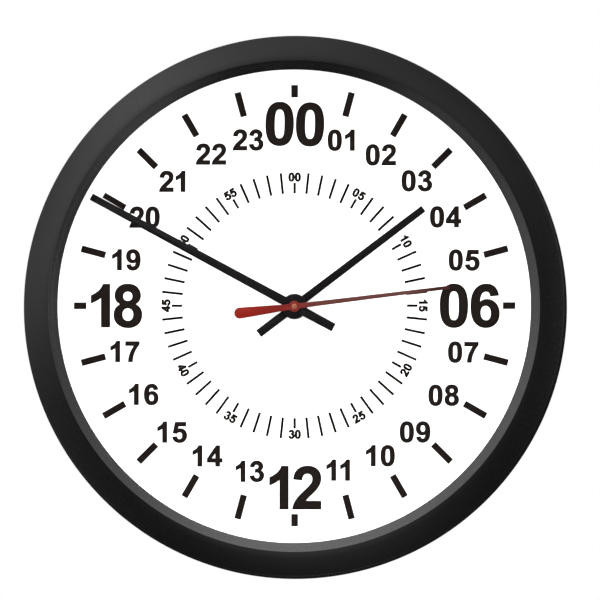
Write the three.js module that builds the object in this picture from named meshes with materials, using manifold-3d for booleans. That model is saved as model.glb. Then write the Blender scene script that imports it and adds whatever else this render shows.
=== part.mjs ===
// Twenty-four hour wall clock with a quartz movement, hung on a nail.
//
// Millimetres. Seen from the front +X is right and +Z is up, and the clock faces -Y.
// The wall is the plane y = 0. Depths are written as f, the distance in front of the
// wall, so y = -f. The origin is where the nail bears in the hanger's slot, on the wall
// plane; the dial axis runs along Y, AXIS_DROP below it.

import * as THREE from "three";
import { mergeVertices } from "three/addons/utils/BufferGeometryUtils.js";
import Module from "manifold-3d";

const wasm = await Module();
wasm.setup();

// ---------------------------------------------------------------- driving dimensions

const AXIS_DROP = 140; // nail to dial axis

// case
const BEZEL_R = 177.8; // 355.6 across, a 14 inch clock
const BEZEL_DEPTH = 45;
const CREST_R = 160.5; // where the front band and the inner bevel meet; both slope back from there
const OPENING_R = 154.4; // dial opening
const LIP_F = 38.3; // rear face of the lip, in front of the lens
const RIB_R = 161.2; // inside of the rib that centres lens and dial
const RIB_F = 22.7; // rear end of that rib
const LENS_R = 160.6, LENS_F0 = 36.0, LENS_F1 = 38.0;
const SPACER_R0 = 157.2, SPACER_R1 = 160.5, SPACER_F0 = 23.3, SPACER_F1 = 35.8;
const DIAL_R = 160.5, DIAL_F0 = 22.5, DIAL_F1 = 23.1, DIAL_HOLE_R = 4.6;
const PLATE_R = 172.8, PLATE_F0 = 20.0, PLATE_F1 = 22.4, PLATE_HOLE_R = 4.8;
const SCREW_CIRCLE_R = 168.9, SCREW_COUNT = 6, SCREW_FIRST_DEG = 30;
const BOSS_R = 3.4, PILOT_R = 1.65, SCREW_R = 1.4, SCREW_HEAD_R = 3.4, SCREW_HOLE_R = 1.8;

// hanger: a hat-section steel bracket with a keyhole
const HANGER_F0 = 2.7, SHEET = 1.2;
const HANGER_HALF = 16, HANGER_FOOT = 29, HANGER_Z0 = 123, HANGER_Z1 = 151;
const KEYHOLE_R = 5.0, KEYHOLE_DROP = 9.5, SLOT_R = 2.3;

// hands: length in front of and behind the axis, widths at the tip, axis and tail end
const HOUR_TIP = 105.9, HOUR_TAIL = 29.4, HOUR_W_TIP = 4.68, HOUR_W_TAIL = 5.52, HOUR_HUB_R = 7.6;
const MIN_TIP = 151.0, MIN_TAIL = 29.2, MIN_W_TIP = 4.5, MIN_W_TAIL = 5.8, MIN_HUB_R = 8.35;
const SEC_TIP = 102.0, SEC_TAIL = 39.65, SEC_W_TIP = 2.32, SEC_W_HUB = 3.32, SEC_W_TAIL = 7.45, SEC_HUB_R = 3.6;
const HOUR_DEG = 52.8, MIN_DEG = 298.4, SEC_DEG = 83.0; // clockwise from the top, at rest
const HOUR_F = [27.5, 28.3], MIN_F = [29.6, 30.4], SEC_F = [31.6, 32.2];

// movement
const BOX_X = 28.5, BOX_Z0 = -28.5, BOX_Z1 = 27.5, BOX_F0 = 3.5, BOX_F1 = 18.5, BOX_WALL = 1.6;
const CHAMBER_X = BOX_X - BOX_WALL, CHAMBER_Z0 = -11.2, CHAMBER_Z1 = 25.9, CHAMBER_F1 = 16.4;
const BAY_Z0 = -27.4, BAY_Z1 = -12.4, BAY_F1 = 17.3;
const COVER_F1 = 5.2;
const CELL_R = 7.2, CELL_Z = -19.9, CELL_F = 9.9, CELL_X0 = -24.3, CELL_X1 = 26.2;
const BUSHING_R = 4.0, BUSHING_BORE_R = 2.5, BUSHING_F0 = 16.5, BUSHING_F1 = 27.0;
const HOUR_TUBE_R = 2.3, HOUR_TUBE_BORE_R = 1.65, MIN_TUBE_R = 1.5, MIN_TUBE_BORE_R = 0.65, ARBOR_R = 0.42;

// going train and motion work: module, teeth
const M_SECOND_THIRD = 0.25, SECOND_PINION = 8, THIRD_WHEEL = 60;
const M_THIRD_CENTRE = 17 / 72, THIRD_PINION = 8, CENTRE_WHEEL = 64;
const M_INTER_SECOND = 0.3, INTER_PINION = 8, SECOND_WHEEL = 48;
const M_ROTOR_INTER = 0.3, ROTOR_PINION = 8, INTER_WHEEL = 40;
const M_CANNON = 0.35, CANNON_PINION = 10, MOTION_WHEEL = 40, SET_PINION = 12;
const M_HOUR = 0.3125, MOTION_PINION = 8, HOUR_WHEEL = 48;
const L1 = [6.2, 7.1], L2 = [8.2, 9.1], L3 = [9.7, 10.6], L4 = [12.8, 13.7], L5 = [14.8, 15.6];
const TRAIN_F = [11.3, 12.3];
// tooth form, as parts of the module and of the pitch: wheels have pointed teeth, pinions flat ones
const ADDENDUM = 0.85, DEDENDUM = 1.2, ROOT_HALF = 0.25, TIP_HALF = 0.1, WHEEL_ROOT_HALF = 0.32, WHEEL_FROM = 30;

const RAD = Math.PI / 180;
const polar = (r, deg) => [r * Math.cos(deg * RAD), r * Math.sin(deg * RAD)];
const plus = (a, b) => [a[0] + b[0], a[1] + b[1]];

// axes of the train, (x, z) from the dial axis
const AX_C = [0, 0];
const AX_W = polar((M_CANNON * (CANNON_PINION + MOTION_WHEEL)) / 2, 195);
const AX_T = polar((M_SECOND_THIRD * (SECOND_PINION + THIRD_WHEEL)) / 2, 30);
const AX_I = polar((M_INTER_SECOND * (INTER_PINION + SECOND_WHEEL)) / 2, 150);
const AX_R = plus(AX_I, polar((M_ROTOR_INTER * (ROTOR_PINION + INTER_WHEEL)) / 2, 100));
const AX_S = plus(AX_W, polar((M_CANNON * (SET_PINION + MOTION_WHEEL)) / 2, 200));

// ---------------------------------------------------------------- geometry helpers

// Merge shared corners, drop faces that collapse on a turning axis, face outwards.
function tidy(geometry) {
  const bare = geometry.clone();
  for (const name of Object.keys(bare.attributes)) if (name !== "position") bare.deleteAttribute(name);
  const g = mergeVertices(bare, 1e-4);
  const src = g.index.array;
  const tri = [];
  for (let i = 0; i < src.length; i += 3) {
    const [a, b, c] = [src[i], src[i + 1], src[i + 2]];
    if (a !== b && b !== c && a !== c) tri.push(a, b, c);
  }
  const p = g.attributes.position;
  let volume = 0;
  const va = new THREE.Vector3(), vb = new THREE.Vector3(), vc = new THREE.Vector3();
  for (let i = 0; i < tri.length; i += 3) {
    va.fromBufferAttribute(p, tri[i]);
    vb.fromBufferAttribute(p, tri[i + 1]);
    vc.fromBufferAttribute(p, tri[i + 2]);
    volume += va.dot(vb.cross(vc));
  }
  if (volume < 0) for (let i = 0; i < tri.length; i += 3) [tri[i], tri[i + 1]] = [tri[i + 1], tri[i]];
  g.setIndex(tri);
  return g;
}

function toSolid(geometry) {
  const g = tidy(geometry);
  return new wasm.Manifold(
    new wasm.Mesh({
      numProp: 3,
      vertProperties: new Float32Array(g.attributes.position.array),
      triVerts: new Uint32Array(g.index.array),
    }),
  );
}

function toGeometry(solid) {
  const m = solid.getMesh();
  const g = new THREE.BufferGeometry();
  g.setAttribute("position", new THREE.BufferAttribute(Float32Array.from(m.vertProperties), 3));
  g.setIndex(new THREE.BufferAttribute(Uint32Array.from(m.triVerts), 1));
  return g;
}

const join = (...parts) => toGeometry(parts.map(toSolid).reduce((a, b) => a.add(b)));
const cut = (part, ...tools) => toGeometry(tools.map(toSolid).reduce((a, b) => a.subtract(b), toSolid(part)));

// Turned about the dial axis, or about the Y line through (x, z); profile points are (r, f).
function turned(profile, segments = 48, [x, z] = [0, 0]) {
  const closed = profile[0][0] > 0 ? [...profile, profile[0]] : profile;
  const g = new THREE.LatheGeometry(closed.map(([r, f]) => new THREE.Vector2(r, -f)), segments);
  g.translate(x, 0, z);
  return tidy(g);
}

const rod = (r, f0, f1, segments, at) => turned([[0, f0], [r, f0], [r, f1], [0, f1]], segments, at);
const ring = (r0, r1, f0, f1, segments, at) => turned([[r0, f0], [r1, f0], [r1, f1], [r0, f1]], segments, at);

// Turned about a line along X at (f, z); profile points are (r, x).
function turnedX(profile, segments, f, z) {
  const closed = profile[0][0] > 0 ? [...profile, profile[0]] : profile;
  const g = new THREE.LatheGeometry(closed.map(([r, x]) => new THREE.Vector2(r, x)), segments);
  g.rotateZ(-Math.PI / 2); // the turning axis Y becomes X
  g.translate(0, -f, z);
  return tidy(g);
}

// A flat shape drawn in (x, z), between depths f0 and f1.
function slab(shape, f0, f1, curveSegments = 12) {
  const g = new THREE.ExtrudeGeometry(shape, { depth: f1 - f0, bevelEnabled: false, curveSegments });
  g.translate(0, 0, f0);
  g.rotateX(Math.PI / 2);
  return tidy(g);
}

const outline = (points) => new THREE.Shape(points.map(([x, z]) => new THREE.Vector2(x, z)));

function block(x0, x1, f0, f1, z0, z1) {
  const g = new THREE.BoxGeometry(x1 - x0, f1 - f0, z1 - z0);
  g.translate((x0 + x1) / 2, -(f0 + f1) / 2, (z0 + z1) / 2);
  return tidy(g);
}

const turnedBy = (geometry, deg) => geometry.clone().rotateY(deg * RAD); // clockwise from the front

// Toothed wheel; phase is the angle of a tooth, anticlockwise from +X seen from the front.
function gear(teeth, module, phase, f0, f1, bore, [x, z]) {
  const pitch = (2 * Math.PI) / teeth;
  const r = (module * teeth) / 2;
  const tip = r + ADDENDUM * module;
  const root = r - DEDENDUM * module;
  const points = [];
  for (let i = 0; i < teeth; i++) {
    const a = phase + i * pitch;
    const tooth =
      teeth < WHEEL_FROM
        ? [[root, -ROOT_HALF], [tip, -TIP_HALF], [tip, TIP_HALF], [root, ROOT_HALF]]
        : [[root, -WHEEL_ROOT_HALF], [tip, 0], [root, WHEEL_ROOT_HALF]];
    for (const [rr, part] of tooth) points.push([x + rr * Math.cos(a + part * pitch), z + rr * Math.sin(a + part * pitch)]);
  }
  const shape = outline(points);
  if (bore > 0) {
    const hole = new THREE.Path();
    hole.absarc(x, z, bore, 0, 2 * Math.PI, true);
    shape.holes.push(hole);
  }
  return slab(shape, f0, f1, 8);
}

// Phases of a meshing pair: A has a tooth on the line of centres, B a gap.
const lineAngle = (a, b) => Math.atan2(b[1] - a[1], b[0] - a[0]);
const phaseTooth = (a, b) => lineAngle(a, b);
const phaseGap = (b, a, teeth) => lineAngle(b, a) + Math.PI / teeth;

// ---------------------------------------------------------------- materials

const mat = (color, roughness, metalness, extra = {}) => new THREE.MeshStandardMaterial({ color, roughness, metalness, ...extra });
const BLACK_ABS = mat(0x17171a, 0.55, 0);
const BLACK_BACK = mat(0x1c1c1e, 0.6, 0);
const WHITE_DIAL = mat(0xfafafa, 0.6, 0);
const WHITE_PLASTIC = mat(0xf4f4f2, 0.5, 0);
const GLASS = mat(0xeef4f4, 0.03, 0, { transparent: true, opacity: 0.2 });
const HAND_BLACK = mat(0x1b1b1c, 0.45, 0.2);
const HAND_RED = mat(0xa0201e, 0.45, 0);
const BRASS = mat(0xb98b4a, 0.3, 1);
const STEEL = mat(0xb8babd, 0.35, 1);
const MOVEMENT_BLACK = mat(0x202022, 0.5, 0);
const ACETAL = mat(0xe9e6dc, 0.45, 0);
const RUBBER = mat(0x141414, 0.85, 0);
const COPPER = mat(0xb5642f, 0.35, 1);
const MAGNET = mat(0x4a4a4c, 0.5, 0.6);
const BOARD = mat(0x2f5b33, 0.6, 0);
const CELL = mat(0x8d9094, 0.35, 0.6);

// ---------------------------------------------------------------- the assembly

const clock = new THREE.Group();
clock.position.z = -AXIS_DROP;
const movement = new THREE.Group();
const hands = new THREE.Group();
clock.add(movement, hands);

function add(name, geometry, material, parent = clock, clockwiseDeg = 0) {
  const g = geometry.clone();
  g.computeVertexNormals();
  const mesh = new THREE.Mesh(g, material);
  mesh.name = name;
  mesh.rotation.y = clockwiseDeg * RAD;
  parent.add(mesh);
  return mesh;
}

// ---- case

const screwAngles = Array.from({ length: SCREW_COUNT }, (_, i) => SCREW_FIRST_DEG + (i * 360) / SCREW_COUNT);
const screwAt = screwAngles.map((deg) => [SCREW_CIRCLE_R * Math.sin(deg * RAD), SCREW_CIRCLE_R * Math.cos(deg * RAD)]);

const bezelRing = turned(
  [
    [BEZEL_R - 0.5, 0],
    [BEZEL_R, 0.6],
    [BEZEL_R - 1.55, 39.6],
    [BEZEL_R - 2.3, 40.6],
    [CREST_R + 8.1, 42.9],
    [CREST_R, BEZEL_DEPTH],
    [OPENING_R, 40],
    [OPENING_R, LIP_F],
    [RIB_R, LIP_F],
    [RIB_R, RIB_F],
    [RIB_R + 2.6, RIB_F],
    [RIB_R + 3.0, 41.4],
    [BEZEL_R - 7.0, 40.6],
    [BEZEL_R - 4.2, 37.4],
    [BEZEL_R - 3.0, 0],
  ],
  60,
);
const bosses = screwAt.map((p) => rod(BOSS_R, RIB_F, 41.3, 10, p));
const gussets = screwAngles.map((deg) =>
  turnedBy(block(-0.8, 0.8, RIB_F + 1.2, 39, RIB_R + 1.6, BEZEL_R - 3.2), deg),
);
const pilots = screwAt.map((p) => rod(PILOT_R, RIB_F - 3, 33, 8, p));
add("front_bezel", cut(join(bezelRing, ...bosses, ...gussets), ...pilots), BLACK_ABS);

add("lens", rod(LENS_R, LENS_F0, LENS_F1, 60), GLASS);
add("dial_spacer_ring", ring(SPACER_R0, SPACER_R1, SPACER_F0, SPACER_F1, 60), WHITE_PLASTIC);
add("dial", ring(DIAL_HOLE_R, DIAL_R, DIAL_F0, DIAL_F1, 60), WHITE_DIAL);

// backplate: flat disc with two ring ribs and twelve spokes behind it
const hangerScrewX = (HANGER_HALF + HANGER_FOOT) / 2 + 0.6;
const hangerScrewAt = [[-hangerScrewX, (HANGER_Z0 + HANGER_Z1) / 2], [hangerScrewX, (HANGER_Z0 + HANGER_Z1) / 2]];
const plateDisc = turned(
  [
    [PLATE_HOLE_R, PLATE_F1],
    [PLATE_R, PLATE_F1],
    [PLATE_R, PLATE_F0],
    [118.4, PLATE_F0],
    [118.2, PLATE_F0 - 4],
    [116.6, PLATE_F0 - 4],
    [116.4, PLATE_F0],
    [61.2, PLATE_F0],
    [61.0, PLATE_F0 - 4],
    [59.4, PLATE_F0 - 4],
    [59.2, PLATE_F0],
    [PLATE_HOLE_R, PLATE_F0],
  ],
  48,
);
// the two spokes beside the hanger stop at the outer ring, which leaves its place flat
const spokes = Array.from({ length: 12 }, (_, i) =>
  turnedBy(block(-0.8, 0.8, PLATE_F0 - 3.6, PLATE_F0 + 0.6, 60.2, i === 0 || i === 11 ? 117.4 : 152), 15 + i * 30),
);
add(
  "backplate",
  cut(
    join(plateDisc, ...spokes),
    ...screwAt.map((p) => rod(SCREW_HOLE_R, PLATE_F0 - 6, PLATE_F1 + 1, 10, p)),
    ...hangerScrewAt.map((p) => rod(1.5, PLATE_F0 - 6, PLATE_F1 + 1, 10, p)),
  ),
  BLACK_BACK,
);

// pan-head screw driven from behind: head rear of headF, shank forward to tipF
function screw(p, headF, tipF, headR, shankR) {
  return turned(
    [
      [0, headF - 1.9],
      [headR * 0.62, headF - 1.9],
      [headR * 0.95, headF - 1.1],
      [headR, headF],
      [shankR, headF],
      [shankR, tipF - 1.2],
      [0, tipF],
    ],
    10,
    p,
  );
}
screwAt.forEach((p, i) => add(`backplate_screw_${i + 1}`, screw(p, PLATE_F0 - 0.08, 31, SCREW_HEAD_R, SCREW_R), STEEL));

// hanger bracket, bent from one strip: feet, legs and a raised face with the keyhole
const h0 = HANGER_F0, h1 = HANGER_F0 + SHEET, hf0 = PLATE_F0 - 0.1 - SHEET, hf1 = PLATE_F0 - 0.1;
const hat = new THREE.Shape(
  [
    [-HANGER_FOOT, hf1], [-HANGER_FOOT, hf0], [-HANGER_HALF, hf0], [-HANGER_HALF, h0],
    [HANGER_HALF, h0], [HANGER_HALF, hf0], [HANGER_FOOT, hf0], [HANGER_FOOT, hf1],
    [HANGER_HALF - SHEET, hf1], [HANGER_HALF - SHEET, h1], [-HANGER_HALF + SHEET, h1], [-HANGER_HALF + SHEET, hf1],
  ].map(([x, f]) => new THREE.Vector2(x, -f)),
);
const hatBar = new THREE.ExtrudeGeometry(hat, { depth: HANGER_Z1 - HANGER_Z0, bevelEnabled: false });
hatBar.translate(0, 0, HANGER_Z0);
const slotTop = AXIS_DROP, keyholeZ = AXIS_DROP - KEYHOLE_DROP;
const keyhole = join(
  rod(KEYHOLE_R, h0 - 1, h1 + 1, 24, [0, keyholeZ]),
  block(-SLOT_R, SLOT_R, h0 - 1, h1 + 1, keyholeZ, slotTop),
  rod(SLOT_R, h0 - 1, h1 + 1, 16, [0, slotTop]),
);
add("hanger_bracket", cut(hatBar, keyhole, ...hangerScrewAt.map((p) => rod(2.0, hf0 - 1, hf1 + 1, 12, p))), STEEL);
["left", "right"].forEach((side, i) =>
  add(`hanger_screw_${side}`, screw(hangerScrewAt[i], hf0 - 0.08, PLATE_F1 - 0.3, 3.0, 1.3), STEEL),
);

// ---- movement case

const post = [[-24.8, 13.2], [24.8, 13.2], [-24.8, -8.9], [24.8, -8.9]];
let housing = block(-BOX_X, BOX_X, BOX_F0, BOX_F1, BOX_Z0, BOX_Z1);
housing = cut(
  housing,
  block(-BOX_X - 1, BOX_X + 1, BOX_F0 - 1, COVER_F1 + 0.05, BAY_Z1 + 0.4, BOX_Z1 + 1), // seat of the cover
  block(-CHAMBER_X, CHAMBER_X, BOX_F0 - 1, CHAMBER_F1, CHAMBER_Z0, CHAMBER_Z1),
  block(-CHAMBER_X, CHAMBER_X, BOX_F0 - 1, BAY_F1, BAY_Z0, BAY_Z1),
  block(-9, 9, BOX_F0 - 1, 9.5, BOX_Z0 - 1, BAY_Z0 + 0.5), // finger notch
  block(25.4, CHAMBER_X, 5.6, 10.2, BAY_Z1 - 0.5, CHAMBER_Z0 + 0.5), // slots for the contacts
  block(-CHAMBER_X, -25.4, 5.6, 10.2, BAY_Z1 - 0.5, CHAMBER_Z0 + 0.5),
  rod(BUSHING_R + 0.2, CHAMBER_F1 - 1, BOX_F1 + 1, 24),
  rod(5.75, CHAMBER_F1 - 1, CHAMBER_F1 + 1.0, 24),
  rod(0.66, CHAMBER_F1 - 1, CHAMBER_F1 + 1.1, 12, AX_W),
  rod(1.25, CHAMBER_F1 - 1, CHAMBER_F1 + 1.1, 12, AX_S),
);
housing = join(
  housing,
  ...post.map(([x, z]) => block(x - 1.5, x + 1.5, TRAIN_F[1] + 0.06, CHAMBER_F1 + 0.5, z - 1.5, z + 1.5)),
  ...post.map((p) => rod(0.8, TRAIN_F[0] - 0.5, TRAIN_F[1] + 0.6, 10, p)),
);
add("movement_housing", housing, MOVEMENT_BLACK, movement);

let cover = join(
  block(-BOX_X + 0.1, BOX_X - 0.1, BOX_F0, COVER_F1, BAY_Z1 + 0.5, BOX_Z1 - 0.1),
  block(-26.8, -26.1, COVER_F1 - 0.4, 9, 18, 22), // snap tongues
  block(26.1, 26.8, COVER_F1 - 0.4, 9, 18, 22),
  block(15, 20, COVER_F1 - 0.4, 9, 25.1, 25.8),
  ...[[15.2, -7.6], [24.8, -7.6], [15.2, 13.6], [24.8, 13.6]].map(([x, z]) =>
    block(x - 1, x + 1, COVER_F1 - 0.4, 5.9, z - 1, z + 1), // pads under the circuit board
  ),
);
cover = cut(
  cover,
  rod(1.35, BOX_F0 - 1, COVER_F1 + 1, 14, AX_S),
  ...[AX_C, AX_T, AX_I, AX_R].map((p) => rod(0.55, COVER_F1 - 1.0, COVER_F1 + 1, 10, p)), // pivot seats
);
add("movement_cover", cover, MOVEMENT_BLACK, movement);

let trainPlate = block(-26.5, 26.5, TRAIN_F[0], TRAIN_F[1], -10.4, 15.2);
trainPlate = cut(
  trainPlate,
  rod(2.0, TRAIN_F[0] - 1, TRAIN_F[1] + 1, 16, AX_C),
  ...[AX_T, AX_I, AX_R].map((p) => rod(0.5, TRAIN_F[0] - 1, TRAIN_F[1] + 1, 10, p)),
  rod(0.66, TRAIN_F[0] - 1, TRAIN_F[1] + 1, 10, AX_W),
  rod(1.25, TRAIN_F[0] - 1, TRAIN_F[1] + 1, 12, AX_S),
  ...post.map((p) => rod(1.0, TRAIN_F[0] - 1, TRAIN_F[1] + 1, 10, p)),
  block(13, 22, TRAIN_F[0] - 1, TRAIN_F[1] + 1, -6, 11), // window over the chip
);
add("train_plate", trainPlate, ACETAL, movement);

add(
  "shaft_bushing",
  turned(
    [
      [BUSHING_BORE_R, BUSHING_F0], [5.5, BUSHING_F0], [5.5, BUSHING_F0 + 0.8], [BUSHING_R, BUSHING_F0 + 0.8],
      [BUSHING_R, BUSHING_F1 - 0.5], [BUSHING_R - 0.5, BUSHING_F1], [BUSHING_BORE_R, BUSHING_F1],
    ],
    24,
  ),
  BRASS,
  movement,
);
add("rubber_washer", ring(4.2, 9.5, 18.6, 19.9, 24), RUBBER, movement);
add("brass_washer", ring(4.2, 7.2, 23.2, 23.7, 24), BRASS, movement);
const hex = new THREE.Shape();
for (let i = 0; i < 6; i++) {
  const [x, z] = polar(6.4, 30 + i * 60);
  i === 0 ? hex.moveTo(x, z) : hex.lineTo(x, z);
}
const nutHole = new THREE.Path();
nutHole.absarc(0, 0, 4.2, 0, 2 * Math.PI, true);
hex.holes.push(nutHole);
add("hex_nut", slab(hex, 23.8, 26.3, 16), BRASS, movement);

// ---- stepping motor and electronics

const COIL_F = 8.2, COIL_Z = 21.5;
const statorShape = outline([
  [-24.2, 9.0], [-13.2, 9.0], [-13.2, 6.9], [-4.5, 6.9], [-4.5, 9.2], [12.2, 9.2], [12.2, 23.4], [8.8, 23.4],
  [8.8, 13.6], [-4.5, 13.6], [-4.5, 15.7], [-13.2, 15.7], [-13.2, 13.6], [-20.8, 13.6], [-20.8, 23.4], [-24.2, 23.4],
]);
const statorHole = new THREE.Path();
statorHole.absarc(AX_R[0], AX_R[1], 3.4, 0, 2 * Math.PI, true);
statorShape.holes.push(statorHole);
add("stator", slab(statorShape, 6.3, 7.3, 12), STEEL, movement);
add("coil_core", block(-24.2, 12.2, 7.4, 9.0, COIL_Z - 1.5, COIL_Z + 1.5), STEEL, movement);
add(
  "coil_bobbin",
  cut(
    turnedX(
      [
        [0, -19.5], [2.85, -19.5], [2.85, -18.6], [2.1, -18.6], [2.1, 6.6], [2.85, 6.6], [2.85, 7.5], [0, 7.5],
      ],
      24,
      COIL_F,
      COIL_Z,
    ),
    block(-21, 9, 7.3, 9.1, COIL_Z - 1.6, COIL_Z + 1.6),
  ),
  ACETAL,
  movement,
);
add("coil_winding", turnedX([[2.2, -18.5], [2.75, -18.5], [2.75, 6.5], [2.2, 6.5]], 24, COIL_F, COIL_Z), COPPER, movement);

add("circuit_board", block(13.2, 26.3, 6.0, 7.0, -8.8, 14.8), BOARD, movement);
add("timing_chip", turned([[0, 7.1], [3.0, 7.1], [2.7, 7.7], [1.6, 8.0], [0, 8.1]], 20, [19.2, 1.6]), RUBBER, movement);
const can = new THREE.CylinderGeometry(1.0, 1.0, 6, 14); // lies along Z
can.rotateX(Math.PI / 2);
can.translate(24.2, -8.15, 9);
add("quartz_crystal", tidy(can), STEEL, movement);

add(
  "positive_contact",
  join(block(26.42, 26.78, 5.0, 14.8, -26, -12.9), block(26.42, 26.78, 6.2, 9.6, -13.2, -5.0)),
  STEEL,
  movement,
);
const leaf = outline([
  [-26.78, -25.2], [-26.42, -25.2], [-24.42, -20.2], [-26.42, -14.6], [-26.42, -13.0], [-26.78, -13.0],
  [-26.78, -14.7], [-24.84, -20.2], [-26.78, -25.0],
]);
add(
  "negative_contact",
  join(
    slab(leaf, 6.6, 13.2),
    block(-26.78, -26.42, 6.2, 9.6, -13.4, -10.6),
    block(-26.78, 16, 6.2, 9.6, -11.0, -10.64),
    block(14, 16, 6.2, 9.6, -10.8, -9.1),
  ),
  STEEL,
  movement,
);

add(
  "battery",
  turnedX(
    [
      [0, CELL_X0], [4.6, CELL_X0], [4.6, CELL_X0 + 0.3], [CELL_R - 0.6, CELL_X0 + 0.3], [CELL_R, CELL_X0 + 0.9],
      [CELL_R, CELL_X1 - 2.2], [CELL_R - 0.7, CELL_X1 - 1.4], [2.7, CELL_X1 - 1.4], [2.7, CELL_X1], [0, CELL_X1],
    ],
    24,
    CELL_F,
    CELL_Z,
  ),
  CELL,
  movement,
);

// ---- going train

add("rotor_magnet", ring(0.95, 3.0, 6.0, 7.8, 20, AX_R), MAGNET, movement);
add(
  "rotor_pinion",
  join(
    gear(ROTOR_PINION, M_ROTOR_INTER, phaseGap(AX_R, AX_I, ROTOR_PINION), ...L2, 0, AX_R),
    rod(0.8, 5.8, L2[0] + 0.2, 10, AX_R),
    rod(0.4, COVER_F1 - 0.8, TRAIN_F[1] - 0.1, 8, AX_R),
  ),
  ACETAL,
  movement,
);
add(
  "intermediate_wheel",
  join(
    gear(INTER_WHEEL, M_ROTOR_INTER, phaseTooth(AX_I, AX_R), ...L2, 0, AX_I),
    gear(INTER_PINION, M_INTER_SECOND, phaseGap(AX_I, AX_C, INTER_PINION), L1[0], L2[0] + 0.2, 0, AX_I),
    rod(0.4, COVER_F1 - 0.8, TRAIN_F[1] - 0.1, 8, AX_I),
  ),
  ACETAL,
  movement,
);
add(
  "second_wheel",
  join(
    gear(SECOND_WHEEL, M_INTER_SECOND, phaseTooth(AX_C, AX_I), ...L1, 0.5, AX_C),
    gear(SECOND_PINION, M_SECOND_THIRD, phaseGap(AX_C, AX_T, SECOND_PINION), L1[1] - 0.2, L2[1], 0.5, AX_C),
  ),
  ACETAL,
  movement,
);
add("second_arbor", rod(ARBOR_R, COVER_F1 - 0.8, 32.3, 10), STEEL, movement);
add(
  "third_wheel",
  join(
    gear(THIRD_WHEEL, M_SECOND_THIRD, phaseTooth(AX_T, AX_C), ...L2, 0, AX_T),
    gear(THIRD_PINION, M_THIRD_CENTRE, phaseGap(AX_T, AX_C, THIRD_PINION), L2[1] - 0.2, L3[1], 0, AX_T),
    rod(0.4, COVER_F1 - 0.8, TRAIN_F[1] - 0.1, 8, AX_T),
  ),
  ACETAL,
  movement,
);
add("centre_wheel", gear(CENTRE_WHEEL, M_THIRD_CENTRE, phaseTooth(AX_C, AX_T), ...L3, 1.38, AX_C), ACETAL, movement);

// ---- motion work and setting

add(
  "cannon_pinion",
  join(
    gear(CANNON_PINION, M_CANNON, phaseGap(AX_C, AX_W, CANNON_PINION), ...L4, MIN_TUBE_BORE_R + 0.2, AX_C),
    turned(
      [
        [MIN_TUBE_BORE_R, L3[0] - 0.2], [1.25, L3[0] - 0.2], [1.25, 13.9], [MIN_TUBE_R, 13.9],
        [MIN_TUBE_R, MIN_F[1] + 0.5], [MIN_TUBE_BORE_R, MIN_F[1] + 0.5],
      ],
      20,
    ),
  ),
  BRASS,
  movement,
);
const motionPhase = phaseTooth(AX_W, AX_C);
add(
  "motion_wheel",
  join(
    gear(MOTION_WHEEL, M_CANNON, motionPhase, ...L4, 0, AX_W),
    gear(MOTION_PINION, M_HOUR, phaseGap(AX_W, AX_C, MOTION_PINION), L4[1] - 0.2, L5[1], 0, AX_W),
    rod(0.55, TRAIN_F[0] + 0.1, CHAMBER_F1 + 0.9, 8, AX_W),
  ),
  ACETAL,
  movement,
);
add(
  "hour_wheel",
  join(
    gear(HOUR_WHEEL, M_HOUR, phaseTooth(AX_C, AX_W), ...L5, HOUR_TUBE_BORE_R + 0.2, AX_C),
    ring(HOUR_TUBE_BORE_R, HOUR_TUBE_R, L5[0], HOUR_F[1] + 0.7, 24),
  ),
  ACETAL,
  movement,
);
// the setting pinion's gap follows the motion wheel's tooth nearest the line between them
const motionPitch = (2 * Math.PI) / MOTION_WHEEL;
const toSet = lineAngle(AX_W, AX_S);
const ahead = motionPhase + Math.round((toSet - motionPhase) / motionPitch) * motionPitch - toSet;
const setPhase = lineAngle(AX_S, AX_W) + Math.PI / SET_PINION - (ahead * MOTION_WHEEL) / SET_PINION;
add("set_pinion", gear(SET_PINION, M_CANNON, setPhase, ...L4, 1.2, AX_S), ACETAL, movement);
const knurl = [];
for (let i = 0; i < 24; i++) {
  const a = (i * Math.PI) / 12;
  for (const [r, d] of [[5.1, -0.065], [5.6, -0.04], [5.6, 0.04], [5.1, 0.065]])
    knurl.push([AX_S[0] + r * Math.cos(a + d), AX_S[1] + r * Math.sin(a + d)]);
}
add(
  "set_knob",
  join(slab(outline(knurl), 1.2, 3.2), rod(1.1, 3.0, CHAMBER_F1 + 0.8, 12, AX_S)),
  WHITE_PLASTIC,
  movement,
);

// ---- hands, drawn pointing up and turned to their rest places

function barHand(tip, tail, wTip, wTail, hubR, holeR, f) {
  const bar = outline([[-wTail / 2, -tail], [wTail / 2, -tail], [wTip / 2, tip], [-wTip / 2, tip]]);
  return cut(join(slab(bar, ...f), rod(hubR, ...f, 30)), rod(holeR, f[0] - 1, f[1] + 1, 24));
}
add("hour_hand", barHand(HOUR_TIP, HOUR_TAIL, HOUR_W_TIP, HOUR_W_TAIL, HOUR_HUB_R, HOUR_TUBE_R + 0.1, HOUR_F), HAND_BLACK, hands, HOUR_DEG);
add("minute_hand", barHand(MIN_TIP, MIN_TAIL, MIN_W_TIP, MIN_W_TAIL, MIN_HUB_R, MIN_TUBE_R + 0.1, MIN_F), HAND_BLACK, hands, MIN_DEG);

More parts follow.
